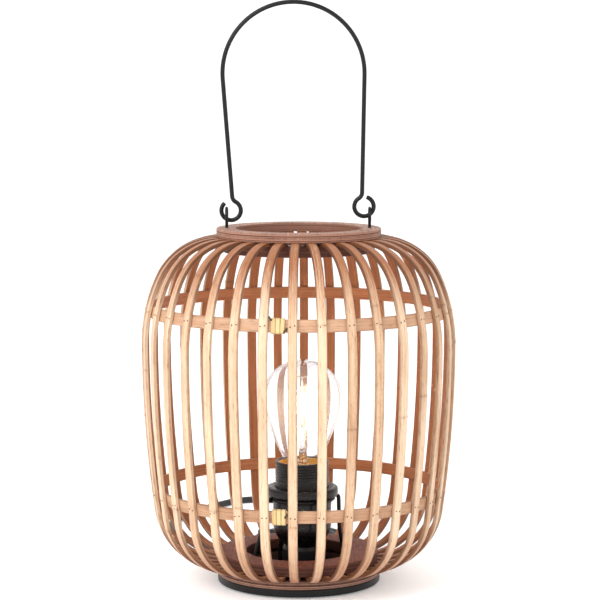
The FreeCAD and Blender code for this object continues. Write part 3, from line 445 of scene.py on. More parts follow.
def arcPath(centre, radius, start, end, count):
    turns = (start + (end - start) * k / count for k in range(count + 1))
    return [(centre[0] + radius * math.cos(turn), centre[1] + radius * math.sin(turn))
            for turn in turns]


def angleAt(centre, point):
    return math.atan2(point[1] - centre[1], point[0] - centre[0])


def bearing(azimuth):
    # level direction, counted in degrees from the front
    turn = math.radians(azimuth)
    return Vector((math.sin(turn), -math.cos(turn), 0))


def up(height):
    return Vector((0, 0, height))


rib = {
    "count": 34, "first": -2.2, "width": 6.6, "thick": 2.7, "end": 47.0, "corner": 0.7,
    "top": 256.0, "low": 13.0, "topBend": 60.5, "lowBend": 58.8,
    "shoulder": 48.0, "turn": 65.0, "upper": 118.0, "lower": 48.0,
    "widths": (0.95, 1.04), "sway": 0.35, "fade": 40,
}
# joints of the cane: where they may fall along a rib, how long one is and how far it stands out
knuckle = {
    "first": (20, 260), "next": (230, 430), "margin": 12, "reach": 1.4, "widen": 0.35,
    "lift": 0.22, "mark": 1.3, "stations": (-3.0, -1.2, -0.4, 0.4, 1.2, 3.0),
}


def ribLine():
    # the outer face of a rib as (radius, height), from its upper end to its lower one
    shoulder, upper, lower = rib["shoulder"], rib["upper"], rib["lower"]
    end, topBend, lowBend = rib["end"], rib["topBend"], rib["lowBend"]
    turn = math.radians(rib["turn"])
    first = Vector((topBend, rib["top"] - shoulder))
    second = first + Vector((math.sin(turn), math.cos(turn))) * (shoulder - upper)
    widest = second + Vector((upper, 0))
    last = Vector((lowBend, rib["low"] + lower))
    across, down = widest.x - last.x, widest.y - last.y
    belly = (across ** 2 + down ** 2 - lower ** 2) / (2 * (across - lower))
    third = widest - Vector((belly, 0))
    hip = angleAt(third, last)
    line = [(end + (topBend - end) * k / 4, rib["top"]) for k in range(4)]
    line += arcPath(first, shoulder, math.pi / 2, math.pi / 2 - turn, 14)[:-1]
    line += arcPath(second, upper, math.pi / 2 - turn, 0, 10)[:-1]
    line += arcPath(third, belly, 0, hip, 16)[:-1]
    line += arcPath(last, lower, hip, -math.pi / 2, 18)
    line += [(lowBend + (end - lowBend) * k / 3, rib["low"]) for k in range(1, 4)]
    return [Vector(p) for p in line]


ribPath = ribLine()


def insideRadius(height, depth):
    # radius of the surface that lies depth behind the ribs' outer face
    for a, b in zip(ribPath[6:], ribPath[7:]):
        if b.y <= height <= a.y:
            normal = Vector((a.y - b.y, b.x - a.x)).normalized()
            share = (a.y - height) / (a.y - b.y)
            return a.lerp(b, share).x - depth / max(normal.x, 0.2)
    return ribPath[20].x - depth


def canePiece(name, shape, finish, node, strip, edgeShade=0.0, marks=None, flanks=None):
    # a piece with what its finish reads: place on the strip, cane joints, flanks and how much
    # painted shade its edges take
    none = [0.0] * len(strip)
    layers = {"strip": strip, "mark": marks or none, "flank": flanks or none,
              "edgeShade": [edgeShade] * len(strip)}
    buildMesh(name, shape, finish, [node], layers=layers)


def ribWays(number):
    # the ways outward and sideways at a rib
    azimuth = rib["first"] + 360 * number / rib["count"]
    return bearing(azimuth), bearing(azimuth + 90)


def ribStops():
    # stations along a rib, closer together at the joints of its cane, and those joints' places
    lengths = [0.0]
    for a, b in zip(ribPath, ribPath[1:]):
        lengths.append(lengths[-1] + (b - a).length)
    knuckles = []
    spot = random.uniform(*knuckle["first"])
    while spot < lengths[-1] - knuckle["margin"]:
        knuckles.append(spot)
        spot += random.uniform(*knuckle["next"])
    stops = list(zip(lengths, ribPath))
    for at in [place + shift for place in knuckles for shift in knuckle["stations"]]:
        k = next(i for i, length in enumerate(lengths) if length > at)
        share = (at - lengths[k - 1]) / (lengths[k] - lengths[k - 1])
        stops.append((at, ribPath[k - 1].lerp(ribPath[k], share)))
    return sorted(stops, key=lambda stop: stop[0]), knuckles


def ribPiece(number):
    # one rib, with the thickened joints of the cane where they happen to fall
    outward, aside = ribWays(number)
    width, thick = rib["width"] * random.uniform(*rib["widths"]), rib["thick"]
    sway, phase = random.uniform(-rib["sway"], rib["sway"]), random.uniform(0, 6)
    stops, knuckles = ribStops()
    total, last = stops[-1][0], len(stops) - 1
    points, strip, marks, flanks = [], [], [], []
    for k, (at, spot) in enumerate(stops):
        way = (stops[min(k + 1, last)][1] - stops[max(k - 1, 0)][1]).normalized()
        normal = Vector((-way.y, way.x))
        near = min((abs(at - place) for place in knuckles), default=99)
        swell = math.exp(-(near / knuckle["reach"]) ** 2)
        half = (width + knuckle["widen"] * swell) / 2
        section = rounded([(-half, 0), (half, 0), (half, -thick), (-half, -thick)], rib["corner"])
        steady = min(1, at / rib["fade"], (total - at) / rib["fade"])
        wander = sway * math.sin(at / total * 6.3 + phase) * steady
        for across, depth in section:
            flat = spot + normal * (depth + (knuckle["lift"] * swell if depth > -0.5 else 0))
            points.append(tuple(outward * flat.x + aside * (across + wander) + up(flat.y)))
            strip.append((across + depth * 0.7, at, float(number)))
            marks.append(max(0.0, 1 - (near / knuckle["mark"]) ** 2))
            flanks.append(1.0 if -thick + 0.2 < depth < -0.2 else 0.0)
    canePiece(f"ribStrip{number + 1:02d}", (points, stacked(len(stops), len(section))), "rib",
              f"rib_{number + 1:02d}", strip, 1.0, marks, flanks)


for number in range(rib["count"]):
    ribPiece(number)
print("ribs made")


# a hoop's edges take less of the painted edge shade than a rib's
hoop = {
    "height": 8.7, "thick": 2.5, "lows": {"upper": 199.2, "lower": 64.5}, "seat": 0.05,
    "segments": 136, "corner": 0.5, "squash": 0.66, "edgeShade": 0.8,
}


def hoopSection(low):
    # the lower and upper edge of a hoop's outer face and the way to its inner one
    inside = rib["thick"] + hoop["seat"]
    a = Vector((insideRadius(low, inside), low))
    b = Vector((insideRadius(low + hoop["height"], inside), low + hoop["height"]))
    inward = Vector((-(b - a).y, (b - a).x)).normalized() * hoop["thick"]
    return a, b, inward


def hoopPiece(label, low):
    a, b, inward = hoopSection(low)
    corners = [tuple(a), tuple(b), tuple(b + inward), tuple(a + inward)]
    section = rounded(corners, hoop["corner"], 2)
    points, strip, segments = [], [], hoop["segments"]
    for s in range(segments):
        azimuth = 360 * s / segments
        for radius, height in section:
            points.append(tuple(bearing(azimuth) * radius + up(height)))
            across = (height - low - hoop["height"] / 2) * hoop["squash"]
            strip.append((across, azimuth / 57.3 * radius, 50.0 + low))
    canePiece(f"{label}HoopStrip", (points, stacked(segments, len(section), True)), "hoop",
              f"{label}_hoop", strip, hoop["edgeShade"])


# the dome of a staple's head as (height, radius)
staple = {"spread": 1.6, "sides": 10, "tilt": 0.5, "sink": 0.1,
          "dome": ((0.0, 0.55), (0.245, 0.495), (0.35, 0.275))}


def stapleHeads():
    # two small heads on every rib where it meets a hoop
    parts, sides = [], staple["sides"]
    places = [(low, number) for low in hoop["lows"].values() for number in range(rib["count"])]
    for low, number in places:
        outward, aside = ribWays(number)
        tilt = random.uniform(-staple["tilt"], staple["tilt"])
        for side in (-1, 1):
            height = low + hoop["height"] / 2 + tilt * side
            radius = insideRadius(height, 0) - staple["sink"]
            seat = outward * radius + aside * (side * staple["spread"]) + up(height)
            points = []
            for rise, size in staple["dome"]:
                points += roundSection(seat + outward * rise, aside, up(1), size, sides)
            parts.append((points, stacked(len(staple["dome"]), sides)))
    buildMesh("stapleHeads", gather(parts), "staple")


band = {"count": 3, "width": 3.0, "pitch": 3.2, "thick": 1.0, "gap": 0.15, "corner": 0.45,
        "bend": 0.6, "waver": 0.12}
# knots: on which side of the bands each one sits and how far below the top of the loops
knot = {
    "places": {"upper": ((1, 8.2), (-1, 0.2)), "lower": ((1, 3.2),)},
    "radius": 0.75, "beside": 0.4, "lift": 0.7,
    "path": ((-0.6, -1.2, -1.2), (0.3, -0.6, -0.2), (0.5, 0.3, 0.7), (-0.2, 1.0, 1.8)),
}


def rattanBands():
    # flat cane wound round each hoop between two ribs, and the knots that end it
    azimuth = rib["first"] - 180 / rib["count"]
    half, thick, turns = band["width"] / 2, band["thick"], band["count"]
    cross = rounded([(-half, 0), (half, 0), (half, thick), (-half, thick)], band["corner"], 2)
    loops, strip, knots = [], [], []
    for label, low in hoop["lows"].items():
        a, b, inward = hoopSection(low)
        centre, along = (a + b + inward) / 2, (b - a).normalized()
        out = Vector((along.y, -along.x))
        deep, tall = hoop["thick"] / 2 + band["gap"], hoop["height"] / 2 + band["gap"]
        corners = [(-deep, -tall), (deep, -tall), (deep, tall), (-deep, tall)]
        loop = [Vector(corner) for corner in rounded(corners, band["bend"])]
        for k in range(turns):
            shift = (k - (turns - 1) / 2) * band["pitch"]
            points = []
            for j, place in enumerate(loop):
                way = (loop[(j + 1) % len(loop)] - loop[j - 1]).normalized()
                for side, rise in cross:
                    flat = place + Vector((way.y, -way.x)) * rise
                    spot = centre + out * flat.x + along * flat.y
                    aside = shift + side + band["waver"] * math.sin(3 * j + k)
                    turn = azimuth + math.degrees(aside / centre.x)
                    points.append(tuple(bearing(turn) * spot.x + up(spot.y)))
                    strip.append((side, j * 1.5, 90.0 + k))
            loops.append((points, stacked(len(loop), len(cross), True)))
        for side, drop in knot["places"][label]:
            aside = band["pitch"] * turns / 2 + knot["beside"]
            turn = azimuth + side * math.degrees(aside / centre.x)
            seat = centre + out * (deep + knot["lift"]) + along * (tall - drop)
            here, beside = bearing(turn), bearing(turn + 90) * side
            path = [here * (seat.x + d) + beside * s + up(seat.y + h) for d, s, h in knot["path"]]
            knots.append(tubeMesh(path, knot["radius"], sides=10))
    canePiece("rattanBands", gather(loops), "rattan", "hoop_bindings", strip)
    buildMesh("rattanKnots", gather(knots), "knot")


for label, low in hoop["lows"].items():
    hoopPiece(label, low)
stapleHeads()
rattanBands()
print("hoops made")


# an inner ring is given by its hole, rim, low and high
ring = {
    "footTop": 6.5, "thick": 6.5, "high": 262.5, "upper": (45.9, 60.2), "lower": (40.0, 60.4),
    "upperInner": (46.4, 55.5, 245.3, 253.3), "lowerInner": (38.9, 58.5, 15.7, 23.3),
}


def twoPly(name, sizes, low, finish, node):
    # a ring of two layers with a fine groove where they meet
    (hole, rim), middle, high = sizes, low + ring["thick"] / 2, low + ring["thick"]
    outline = rounded([(hole, low, 0.5), (rim - 0.1, low, 0.7), (rim, middle - 0.35, 0.5),
                       (rim - 0.55, middle, 0.1), (rim, middle + 0.35, 0.5),
                       (rim - 0.1, high, 0.8), (hole, high, 0.8)], 0.5)
    lathe(name, outline, finish, [node], 144)


twoPly("upperRing", ring["upper"], ring["high"] - ring["thick"], "topPly", "top_ring")
twoPly("lowerRing", ring["lower"], ring["footTop"], "darkPly", "bottom_ring")
sleeve("upperInnerRing", ring["upperInner"], "redPly", ["top_inner_ring"])
sleeve("lowerInnerRing", ring["lowerInner"], "redPly", ["bottom_inner_ring"])

foot = {
    "plate": [(5.2, 4.5, 0), (10.5, 4.5, 0), (10.5, 1.0, 0.3), (60.0, 1.0, 1.3),
              (60.0, 6.5, 1.2), (5.2, 6.5, 0)],
    "pad": [(0.001, 0.0, 0), (6.0, 0.0, 0.4), (6.0, 1.0, 0.2), (0.001, 1.0, 0)],
    "pads": 4, "padReach": 48,
}
lathe("footPlate", rounded(foot["plate"], 0.4, 5), "foot", ["foot_base"], 144)
for number in range(foot["pads"]):
    turn, reach = math.radians(45 + 90 * number), foot["padReach"] * mm
    padPiece = lathe(f"footPad{number}", rounded(foot["pad"], 0.3), "pad",
                     ["foot_pads"] if number == 0 else (), 32)
    place = (reach * math.cos(turn), reach * math.sin(turn), 0)
    padPiece.data.transform(Matrix.Translation(place))
print("rings and foot made")


# shift is how far the lampholder stands beside the cage's axis; rest is the outline of the
# shell below and inside its thread
holder = {
    "shift": 2.5,
    "thread": {"radius": 19.7, "low": 77.0, "high": 89.0, "pitch": 2.0, "depth": 0.55},
    "rest": [(19.6, 89.6), (19.1, 90.0), (17.9, 90.0), (17.4, 89.6), (17.4, 81.4), (17.0, 81.0),
             (13.7, 81.0), (13.7, 58.0), (19.2, 58.0), (19.2, 50.0), (21.0, 50.0), (21.4, 50.4),
             (21.4, 63.4), (21.0, 64.0), (19.9, 64.0), (19.7, 64.4), (19.7, 76.4)],
    "ring": [(19.9, 64.0, 0.3), (26.5, 64.0, 2.4), (26.5, 71.2, 2.4), (19.9, 71.2, 0.6)],
    "domeFoot": [(5.2, 29.7), (5.2, 27.5), (12.2, 27.5), (12.9, 27.9)],
    "domeArc": ((2.07, 43.66), 19.4, math.radians(-55), math.radians(-5), 12),
    "domeRim": [(21.4, 43.0), (21.4, 48.6), (21.1, 49.0), (20.7, 49.3), (21.1, 49.6),
                (21.3, 50.0), (19.2, 50.0), (19.2, 42.0), (16.5, 34.5), (12.4, 29.7)],
    "column": [(3.6, 1.5, 0), (5.0, 1.5, 0.2), (5.0, 6.6, 0), (14.0, 6.6, 0.4),
               (14.4, 9.2, 0.6), (14.4, 24.6, 1.0), (13.0, 27.4, 0.6), (5.0, 27.4, 0),
               (5.0, 33.0, 0.2), (3.6, 33.0, 0)],
    "liner": (16.5, 17.3, 81.1, 89.1),
    "contact": [(0, 50.2, 0), (19.0, 50.2, 0.2), (19.0, 55.5, 0.4), (10.0, 55.6, 0.2),
                (10.0, 56.5, 0.3), (3.0, 56.6, 0.3), (2.4, 58.6, 0.4), (0, 58.6, 0)],
}


def threaded(name, thread, rest, finish, node, body="lamp"):
    # a sleeve with a round thread cut in its outside, which fades out at both ends
    low, high, pitch, segments = thread["low"], thread["high"], thread["pitch"], 96
    points, rows, fade = [], int((high - low) / pitch * 8), 6
    for r in range(rows + 1):
        height = low + (high - low) * r / rows
        ramp = min(1.0, r / fade, (rows - r) / fade)
        for s in range(segments):
            turn = 2 * math.pi * s / segments
            wave = math.cos(2 * math.pi * ((height - low) / pitch - s / segments))
            size = thread["radius"] - thread["depth"] * (0.5 - 0.5 * wave) * ramp
            points.append((holder["shift"] + size * math.cos(turn), size * math.sin(turn), height))
    for radius, height in rest:
        points += circle(radius, height, segments, holder["shift"])
    faces = stacked(rows + 1 + len(rest), segments, True)
    buildMesh(name, (points, faces), finish, [node], body)


def holderPieces():
    shift = holder["shift"]
    threaded("holderShell", holder["thread"], holder["rest"], "holder",
             "lampholder_shell")
    lathe("holderRing", rounded(holder["ring"], 0.5, 6), "holder",
          ["shade_ring"], 96, shift)
    dome = holder["domeFoot"] + arcPath(*holder["domeArc"]) + holder["domeRim"]
    lathe("holderDome", dome, "holder", ["lampholder_dome"], 96, shift)
    lathe("stemColumn", rounded(holder["column"], 0.3, 4), "foot",
          ["stem_column"], 64, shift)
    sleeve("socketLiner", holder["liner"], "liner", (), 0.2, 64, shift)
    lathe("contactPlate", rounded(holder["contact"], 0.2), "brass",
          ["contact_insert"], 64, shift)


holderPieces()
frameWire = {
    "radius": 1.5, "collar": 23.1, "high": 62.4, "elbow": 29.5, "shin": (31.5, 38.0),
    "foot": 36.6, "knee": 16.0, "end": 6.6, "legs": 4, "first": 23.0, "bends": (2.8, 40, 14),
}


def bent(points, radii):
    # straight runs joined by rounded bends
    route = [Vector(p) for p in points]
    path = [route[0]]
    for before, here, after, radius in zip(route, route[1:], route[2:], radii):
        back, on = (before - here).normalized(), (after - here).normalized()
        reach = radius / math.tan(back.angle(on) / 2)
        start, end = here + back * reach, here + on * reach
        for t in (k / 8 for k in range(9)):
            path.append(start.lerp(here, t).lerp(here.lerp(end, t), t))
    return path + [route[-1]]


def supportFrame():
    # the wire collar under the shade ring and the legs that carry it
    wire, high, stand = frameWire["radius"], frameWire["high"], frameWire["foot"]
    aside = Vector((holder["shift"], 0, 0))
    parts = [tubeMesh(circle(frameWire["collar"], high, 64, holder["shift"]), wire, True)]
    for number in range(frameWire["legs"]):
        out = bearing(frameWire["first"] + 90 * number)
        spots = [out * frameWire["collar"] + aside + up(high),
                 out * frameWire["elbow"] + aside + up(high - 0.5),
                 out * frameWire["shin"][0] + aside / 2 + up(frameWire["shin"][1]),
                 out * stand + up(frameWire["knee"]), out * stand + up(frameWire["end"])]
        parts.append(tubeMesh(bent(spots, frameWire["bends"]), wire))
    buildMesh("supportFrame", gather(parts), "wire", ["wire_frame"])


supportFrame()
print("lampholder made")


bulb = {
    "centre": 135.1, "radius": 30.0, "flank": 22.0, "neck": (17.6, 99.0), "foot": (13.9, 84.0),
    "neckBend": 26.0, "wall": 0.9,
    "thread": {"radius": 13.2, "low": 64.5, "high": 80.0, "pitch": 3.6, "depth": 1.0},
    "rest": [(12.9, 81.5), (13.2, 83.2), (12.6, 83.9), (0.01, 83.9), (0.01, 58.9), (3.6, 58.9),
             (4.6, 59.4), (5.0, 60.0), (10.8, 62.9), (12.2, 63.4)],
    "post": [(0, 84.1), (7.5, 84.1), (4.6, 88), (2.6, 94), (2.0, 99), (1.9, 113), (3.0, 114.2),
             (1.2, 115.4), (0.5, 117), (0.5, 151), (1.2, 152), (0, 152.8)],
}
# the lit rods, and the wires from the post to their ends as (reach, height)
rods = {
    "count": 4, "reach": 7.0, "radius": 0.95, "heights": range(115, 152, 6), "wire": 0.28,
    "leads": (((0, 113.2), (4, 113.0), (7, 115.2)), ((0, 151.8), (4, 152.6), (7, 150.8))),
}


def bulbSkin(inset):
    # a face of the glass as (radius, height): neck, flank and ball, up to the axis
    flank, bend = math.radians(bulb["flank"]), bulb["neckBend"]
    aside = Vector((inset, 0))
    root, neck = Vector(bulb["foot"]) - aside, Vector(bulb["neck"]) - aside
    middle, half = (root + neck) / 2, (neck - root).length / 2
    across = Vector(((neck - root).y, -(neck - root).x)).normalized()
    centre = middle + across * math.sqrt(bend ** 2 - half ** 2)
    start, end = angleAt(centre, root) % (2 * math.pi), angleAt(centre, neck) % (2 * math.pi)
    line = arcPath(centre, bend, start, end, 8)
    ball = arcPath((0, bulb["centre"]), bulb["radius"] - inset, -flank, math.pi / 2, 40)
    low, high = Vector(line[-1]), Vector(ball[0])
    line += [tuple(low.lerp(high, k / 6)) for k in range(1, 6)]
    return line + ball[:-1] + [(0, ball[-1][1])]


def bulbPieces():
    shift = holder["shift"]
    glass = bulbSkin(0) + bulbSkin(bulb["wall"])[::-1]
    lathe("bulbGlass", glass, "glass", ["bulb_glass"], 96, shift, "bulb")
    threaded("bulbCap", bulb["thread"], bulb["rest"], "brass", "bulb_cap", "bulb")
    lathe("glassPost", bulb["post"], "glass", (), 32, shift, "bulb")
    lit, leads, base = [], [], Vector((shift, 0, 0))
    for number in range(rods["count"]):
        spot = bearing(45 + 90 * number)
        path = [base + spot * rods["reach"] + up(height) for height in rods["heights"]]
        lit.append(tubeMesh(path, rods["radius"], sides=12))
        for lead in rods["leads"]:
            path = [base + spot * reach + up(height) for reach, height in lead]
            leads.append(tubeMesh(path, rods["wire"], sides=8))
    buildMesh("litRods", gather(lit), "rods", ["bulb_filaments"], "bulb")
    buildMesh("rodLeads", gather(leads), "steel", body="bulb")


bulbPieces()
print("bulb made")


bail = {
    "wire": 1.6, "arch": 51.5, "rise": 104.5, "taper": 2.7, "hook": (48.5, 6.4),
    "hookRadius": 7.1, "jog": 5.0, "leftEnd": 46.0, "rightEnd": 68.0, "lean": 1.7,
    "shift": -0.7, "pivot": 270.1,
}


def bailSide(endAngle):
    # leg, bend and hook of the right side as (x, height above the pivot)
    taper, jog, curl = math.radians(bail["taper"]), bail["jog"], bail["hookRadius"]
    arch, hook = Vector((0, bail["rise"])), Vector(bail["hook"])
    out = Vector((math.cos(taper), -math.sin(taper)))
    along = Vector((-math.sin(taper), -math.cos(taper)))
    shoulder = arch + out * bail["arch"]
    origin = shoulder - out * jog
    reach, span = origin - hook, curl + jog
    drop = reach.dot(along)
    centre = origin + along * (-drop - math.sqrt(drop * drop - reach.dot(reach) + span * span))
    leave, meet = centre + out * jog, hook + (centre - hook) * (curl / span)
    path = [tuple(shoulder.lerp(leave, k / 12)) for k in range(12)]
    path += arcPath(centre, jog, angleAt(centre, leave), angleAt(centre, meet), 8)
    end = math.radians(endAngle) + 2 * math.pi
    return path + arcPath(hook, curl, angleAt(hook, meet), end, 32)[1:]


def bailPiece():
    right = bailSide(bail["rightEnd"])
    left = [(-x, z) for x, z in bailSide(bail["leftEnd"])]
    top = arcPath((0, bail["rise"]), bail["arch"], math.radians(180 + bail["taper"]),
                  math.radians(-bail["taper"]), 48)[1:-1]
    lean = math.radians(bail["lean"])
    placed = [(bail["shift"] + x * math.cos(lean) - z * math.sin(lean), 0,
               bail["pivot"] + x * math.sin(lean) + z * math.cos(lean))
              for x, z in left[::-1] + top + right]
    buildMesh("bailWire", tubeMesh(placed, bail["wire"]), "wire", ["bail"], "bail")


eye = {"wire": 1.1, "loop": 5.4, "rise": 8.9, "neck": 1.2, "bend": 3.0, "foot": 256.4,
       "planes": (-52.6, 51.7)}


def eyePieces():
    # a wire loop that comes up out of the ring, closed like a keyhole
    loop, bend, neck = eye["loop"], eye["bend"], eye["neck"]
    span = loop + bend
    drop = math.sqrt(span * span - (neck + bend) ** 2)
    centre = (0, ring["high"] + eye["rise"])
    corner = (neck + bend, centre[1] - drop)
    turn = angleAt(centre, corner)
    half = [(neck, eye["foot"] + 1.2 * k) for k in range(5)]
    half += arcPath(corner, bend, math.pi, turn + math.pi, 6)
    path = half + arcPath(centre, loop, turn, math.pi - turn, 28)[1:-1]
    path += [(-y, z) for y, z in half[::-1]]
    parts = [tubeMesh([(plane, y, z) for y, z in path], eye["wire"], sides=14)
             for plane in eye["planes"]]
    buildMesh("bailEyes", gather(parts), "wire", ["bail_eyes"])


bailPiece()
eyePieces()
print("bail made")


# the supply cord is one line from the strain relief through the coil to the plug
cord = {
    "radius": 2.75, "exitBearing": 148.0, "exitReach": 80.4, "centre": (-2.0, 99.5),
    "coil": 34.5, "pitch": 6.0, "halves": 5, "start": 150.0, "exit": 165.0,
    "plug": (-2.0, 186.0, 6.85),
}
leadRoute = [(50, 80, 6.1), (54, 96.5, 4.3)] + [(x, y, cord["radius"]) for x, y in (
    (51.5, 112.5), (41, 127), (29, 138.5), (21.5, 153), (20.5, 173), (22, 194), (21.5, 215),
    (16.5, 236), (6.5, 256), (-13.3, 280.6), (-32.8, 287.3), (-52.7, 281.9), (-68, 264),
    (-83, 243), (-96, 219), (-104.5, 194), (-105, 170), (-99.5, 146), (-89, 123), (-69.5, 101))]
tailRoute = [(13, 141.5, 8.5), (5, 153, 8.0), (0, 168, 7.2)]


def coilWays():
    # the way in which the cord enters its coil, and the way across it
    heading = math.radians(cord["start"])
    return (Vector((math.cos(heading), math.sin(heading), 0)),
            Vector((math.sin(heading), -math.cos(heading), 0)))


def coilRoute():
    # control points round the coil's half turns, set out so that the line runs at their radius
    along, axis = coilWays()
    half, halves, thick = cord["pitch"] / 2, cord["halves"], 2 * cord["radius"]
    inward = [cord["coil"] - half * k for k in range(halves)]
    climb = inward[-1] - half
    outward = [climb + half * (k + 1) for k in range(halves)]
    place, side = Vector((*cord["centre"], cord["radius"])) - axis * cord["coil"], -1
    entry = place + along * thick
    points = [entry + along * 22, entry]
    perHalf = 8
    step = math.pi / perHalf
    for number, radius in enumerate(inward + [climb] + outward):
        middle = place - axis * (side * radius)
        last = number == 2 * halves
        count = int(perHalf * cord["exit"] / 180) if last else perHalf
        for k in range(count):
            turn = (k + 0.5) * step
            reach = radius / math.cos(step / 2)
            rise = cord["pitch"] * (turn / math.pi) if number == halves else 0
            way = axis * math.cos(turn) + along * math.sin(turn)
            points.append(middle + way * side * reach + up(rise))
        if last:
            turn = math.radians(cord["exit"])
            way = axis * math.cos(turn) + along * math.sin(turn)
            leave = (along * math.cos(turn) - axis * math.sin(turn)) * side
            points.append(middle + way * side * radius + leave * thick)
        place = place - axis * (2 * side * radius)
        if number == halves:
            place = place + up(cord["pitch"])
        side = -side
    return points


def cordPiece():
    exitPoint = bearing(cord["exitBearing"]) * cord["exitReach"] + up(ring["footTop"])
    route = [exitPoint] + [Vector(p) for p in leadRoute] + coilRoute()
    route += [Vector(p) for p in tailRoute] + [Vector(cord["plug"])]
    curve = bpy.data.curves.new("supplyCord", "CURVE")
    curve.dimensions, curve.bevel_depth = "3D", cord["radius"] * mm
    curve.bevel_resolution, curve.resolution_u, curve.use_fill_caps = 4, 8, True
    spline = curve.splines.new("NURBS")
    spline.points.add(len(route) - 1)
    for control, spot in zip(spline.points, route):
        control.co = (spot.x * mm, spot.y * mm, spot.z * mm, 1)
    spline.order_u, spline.use_endpoint_u = 3, True
    piece = newObject("supplyCord", curve)
    curve.materials.append(finishes["cord"])
    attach(piece, "lamp")
    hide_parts("cord_lead", "cord_coil", "cord_tail")
    return piece, exitPoint


# the body's plan and its share at each height; sleeve and pin as distances from the cord's end
plug = {
    "plan": [(-5, 0, 1.2), (5, 0, 1.2), (17.5, 14, 4), (17.5, 36, 3.2), (-17.5, 36, 3.2),
             (-17.5, 14, 4)],
    "levels": [(0.2, 0.93), (0.9, 0.975), (2.4, 1.0), (6.6, 1.0), (7.1, 1.0), (11.3, 1.0),
               (12.8, 0.975), (13.5, 0.93)],
    "middle": 18, "grips": (19, 22.4, 25.8, 29.2), "gripSide": 17.45, "gripRadius": 0.6,
    "gripHeights": (3.2, 5, 6.85, 8.7, 10.5), "pinSide": 9.3, "pinRadius": 1.9,
    "pin": (45, 48, 51, 54.2), "sleeve": (35.5, 38.5, 41.5, 45), "sleeveRadius": 1.95,
}


def plugPieces():
    x, y, z = cord["plug"]
    plan, middle = rounded(plug["plan"], 3, 5), plug["middle"]
    points = [(x + px * share, y + middle + (py - middle) * share, height)
              for height, share in plug["levels"] for px, py in plan]
    parts, pins = [(points, stacked(len(plug["levels"]), len(plan)))], []
    for side in (-1, 1):
        for at in plug["grips"]:
            path = [(x + side * plug["gripSide"], y + at, z) for z in plug["gripHeights"]]
            parts.append(tubeMesh(path, plug["gripRadius"], sides=10))
    for side in (-1, 1):
        across = x + side * plug["pinSide"]
        parts.append(tubeMesh([(across, y + d, z) for d in plug["sleeve"]], plug["sleeveRadius"]))
        pins.append(tubeMesh([(across, y + d, z) for d in plug["pin"]], plug["pinRadius"]))
    return [buildMesh("plugBody", gather(parts), "plug", ["plug"]),
            buildMesh("plugPins", gather(pins), "steel")]


tie = {"gap": 0.7, "thick": 0.9, "half": 2, "low": 0.1, "bend": 2.2}


def tiePiece():
    # a flat strip round the bundle of turns at the coil's left side
    along, axis = coilWays()
    centre = Vector((*cord["centre"], 0)) + axis * cord["pitch"] / 2
    gap, thick, low, bend = tie["gap"], tie["thick"], tie["low"], tie["bend"]
    outer = cord["coil"] - cord["pitch"] / 2 + cord["radius"] + gap
    inner = outer - 2 * gap - 2 * cord["radius"] - 2 * cord["pitch"]
    top = 2 * cord["radius"] + cord["pitch"] + gap
    shape = rounded([(inner, low, 0.2), (inner, top, bend), (outer, top, bend), (outer, low, 0.2),
                     (outer + thick, low, 0.2), (outer + thick, top + thick, bend + 0.6),
                     (inner - thick, top + thick, bend + 0.6), (inner - thick, low, 0.2)], 0.2, 4)
    points = [tuple(centre + along * r + axis * side + up(height))
              for side in (-tie["half"], tie["half"]) for r, height in shape]
    return buildMesh("cordTie", (points, stacked(2, len(shape))), "plug",
                     ["cord_tie"])


# the sleeve as (radius, distance from the lamp's axis), with ribs that get smaller outwards
relief = {
    "root": [(0, 19.5), (4.4, 19.5), (4.4, 59.5), (4.5, 62.5)],
    "tip": [(3.5, 79.0), (3.4, 80.2), (0, 80.2)],
    "ribs": 5, "first": 63.0, "step": 3.1, "radius": 4.5, "shrink": 0.19, "groove": 0.55,
}


def reliefPiece():
    # the tapered sleeve, ribbed outside the foot
    shape = list(relief["root"])
    for k in range(relief["ribs"]):
        start = relief["first"] + relief["step"] * k
        size = relief["radius"] - relief["shrink"] * k
        inside = size - relief["groove"]
        shape += [(size, start), (size, start + 1.7), (inside, start + 2.0), (inside, start + 2.8)]
    outline = rounded([(r, h, 0.15) for r, h in shape + relief["tip"]], 0.15, 1)
    piece = lathe("strainRelief", outline, "plug", ["strain_relief"], 40)
    turn = up(1).rotation_difference(bearing(cord["exitBearing"])).to_matrix().to_4x4()
    piece.data.transform(Matrix.Translation((0, 0, ring["footTop"] * mm)) @ turn)


cordLine, exitPoint = cordPiece()
plugSet = plugPieces()
tieStrip = tiePiece()
reliefPiece()
tuple(exitPoint * mm)
2 * cord["radius"] * mm
print("cord made")


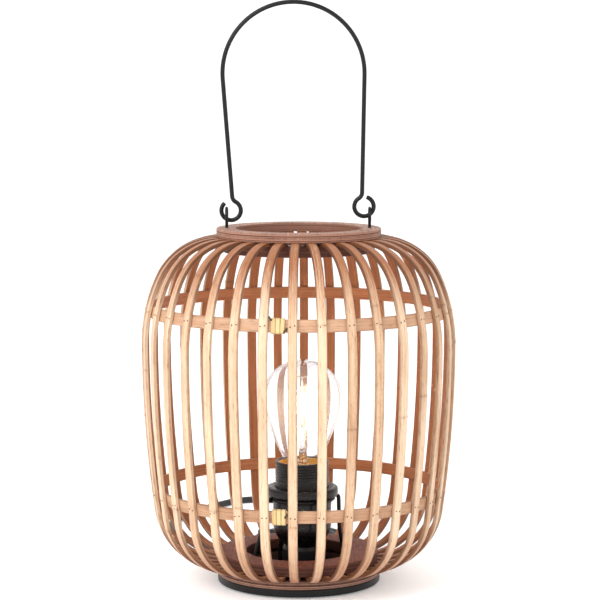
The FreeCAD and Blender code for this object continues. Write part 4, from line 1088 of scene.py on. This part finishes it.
# the floor runs level from the front to bendFrom and curls up there into a back wall
studio = {
    "floor": (0.93, 0.93, 0.925), "glow": 0.22, "world": 0.92, "half": 14, "front": -12,
    "bendFrom": 5, "bend": 3, "wall": 16, "aim": (0, 0, 0.15),
    "lights": {"keyLight": ((-1.2, -1.6, 1.5), 33.0), "fillLight": ((1.5, -1.3, 0.9), 5.0)},
    "lightSize": 1.2, "bulb": {"energy": 0.25, "color": (1.0, 0.72, 0.42),
                               "shadow_soft_size": 0.008, "place": (0.0025, 0, 0.132)},
}


def floorAndLight():
    start, bend, half = studio["bendFrom"], studio["bend"], studio["half"]
    sweep = [(studio["front"], 0), (start, 0)]
    sweep += arcPath((start, bend), bend, -math.pi / 2, 0, 12)[1:]
    sweep += [(start + bend, studio["wall"])]
    floor = bpy.data.meshes.new("floor")
    floor.from_pydata([(x, y, z) for y, z in sweep for x in (-half, half)], [],
                      [(2 * k, 2 * k + 1, 2 * k + 3, 2 * k + 2) for k in range(len(sweep) - 1)])
    floor.shade_smooth()
    floorPiece = newObject("floor", floor)
    finish = Finish("paleFloor", Base_Color=studio["floor"], Roughness=0.9, Specular_IOR_Level=0.1,
                    Emission_Color=(1, 1, 1), Emission_Strength=studio["glow"])
    floor.materials.append(finish.material)
    world = bpy.data.worlds.new("softRoom")
    world.use_nodes = True
    background = next(n for n in world.node_tree.nodes if n.type == "BACKGROUND")
    background.inputs["Color"].default_value = (1, 1, 1, 1)
    background.inputs["Strength"].default_value = studio["world"]
    bpy.context.scene.world = world
    for name, (place, power) in studio["lights"].items():
        data = bpy.data.lights.new(name, "AREA")
        data.shape, data.size, data.energy = "SQUARE", studio["lightSize"], power
        light = newObject(name, data)
        light.location = place
        way = Vector(studio["aim"]) - Vector(place)
        light.rotation_euler = way.to_track_quat("-Z", "Y").to_euler()
    data = bpy.data.lights.new("bulbLight", "POINT")
    for name in ("energy", "color", "shadow_soft_size"):
        setattr(data, name, studio["bulb"][name])
    newObject("bulbLight", data).location = studio["bulb"]["place"]


floorAndLight()
print("studio made")
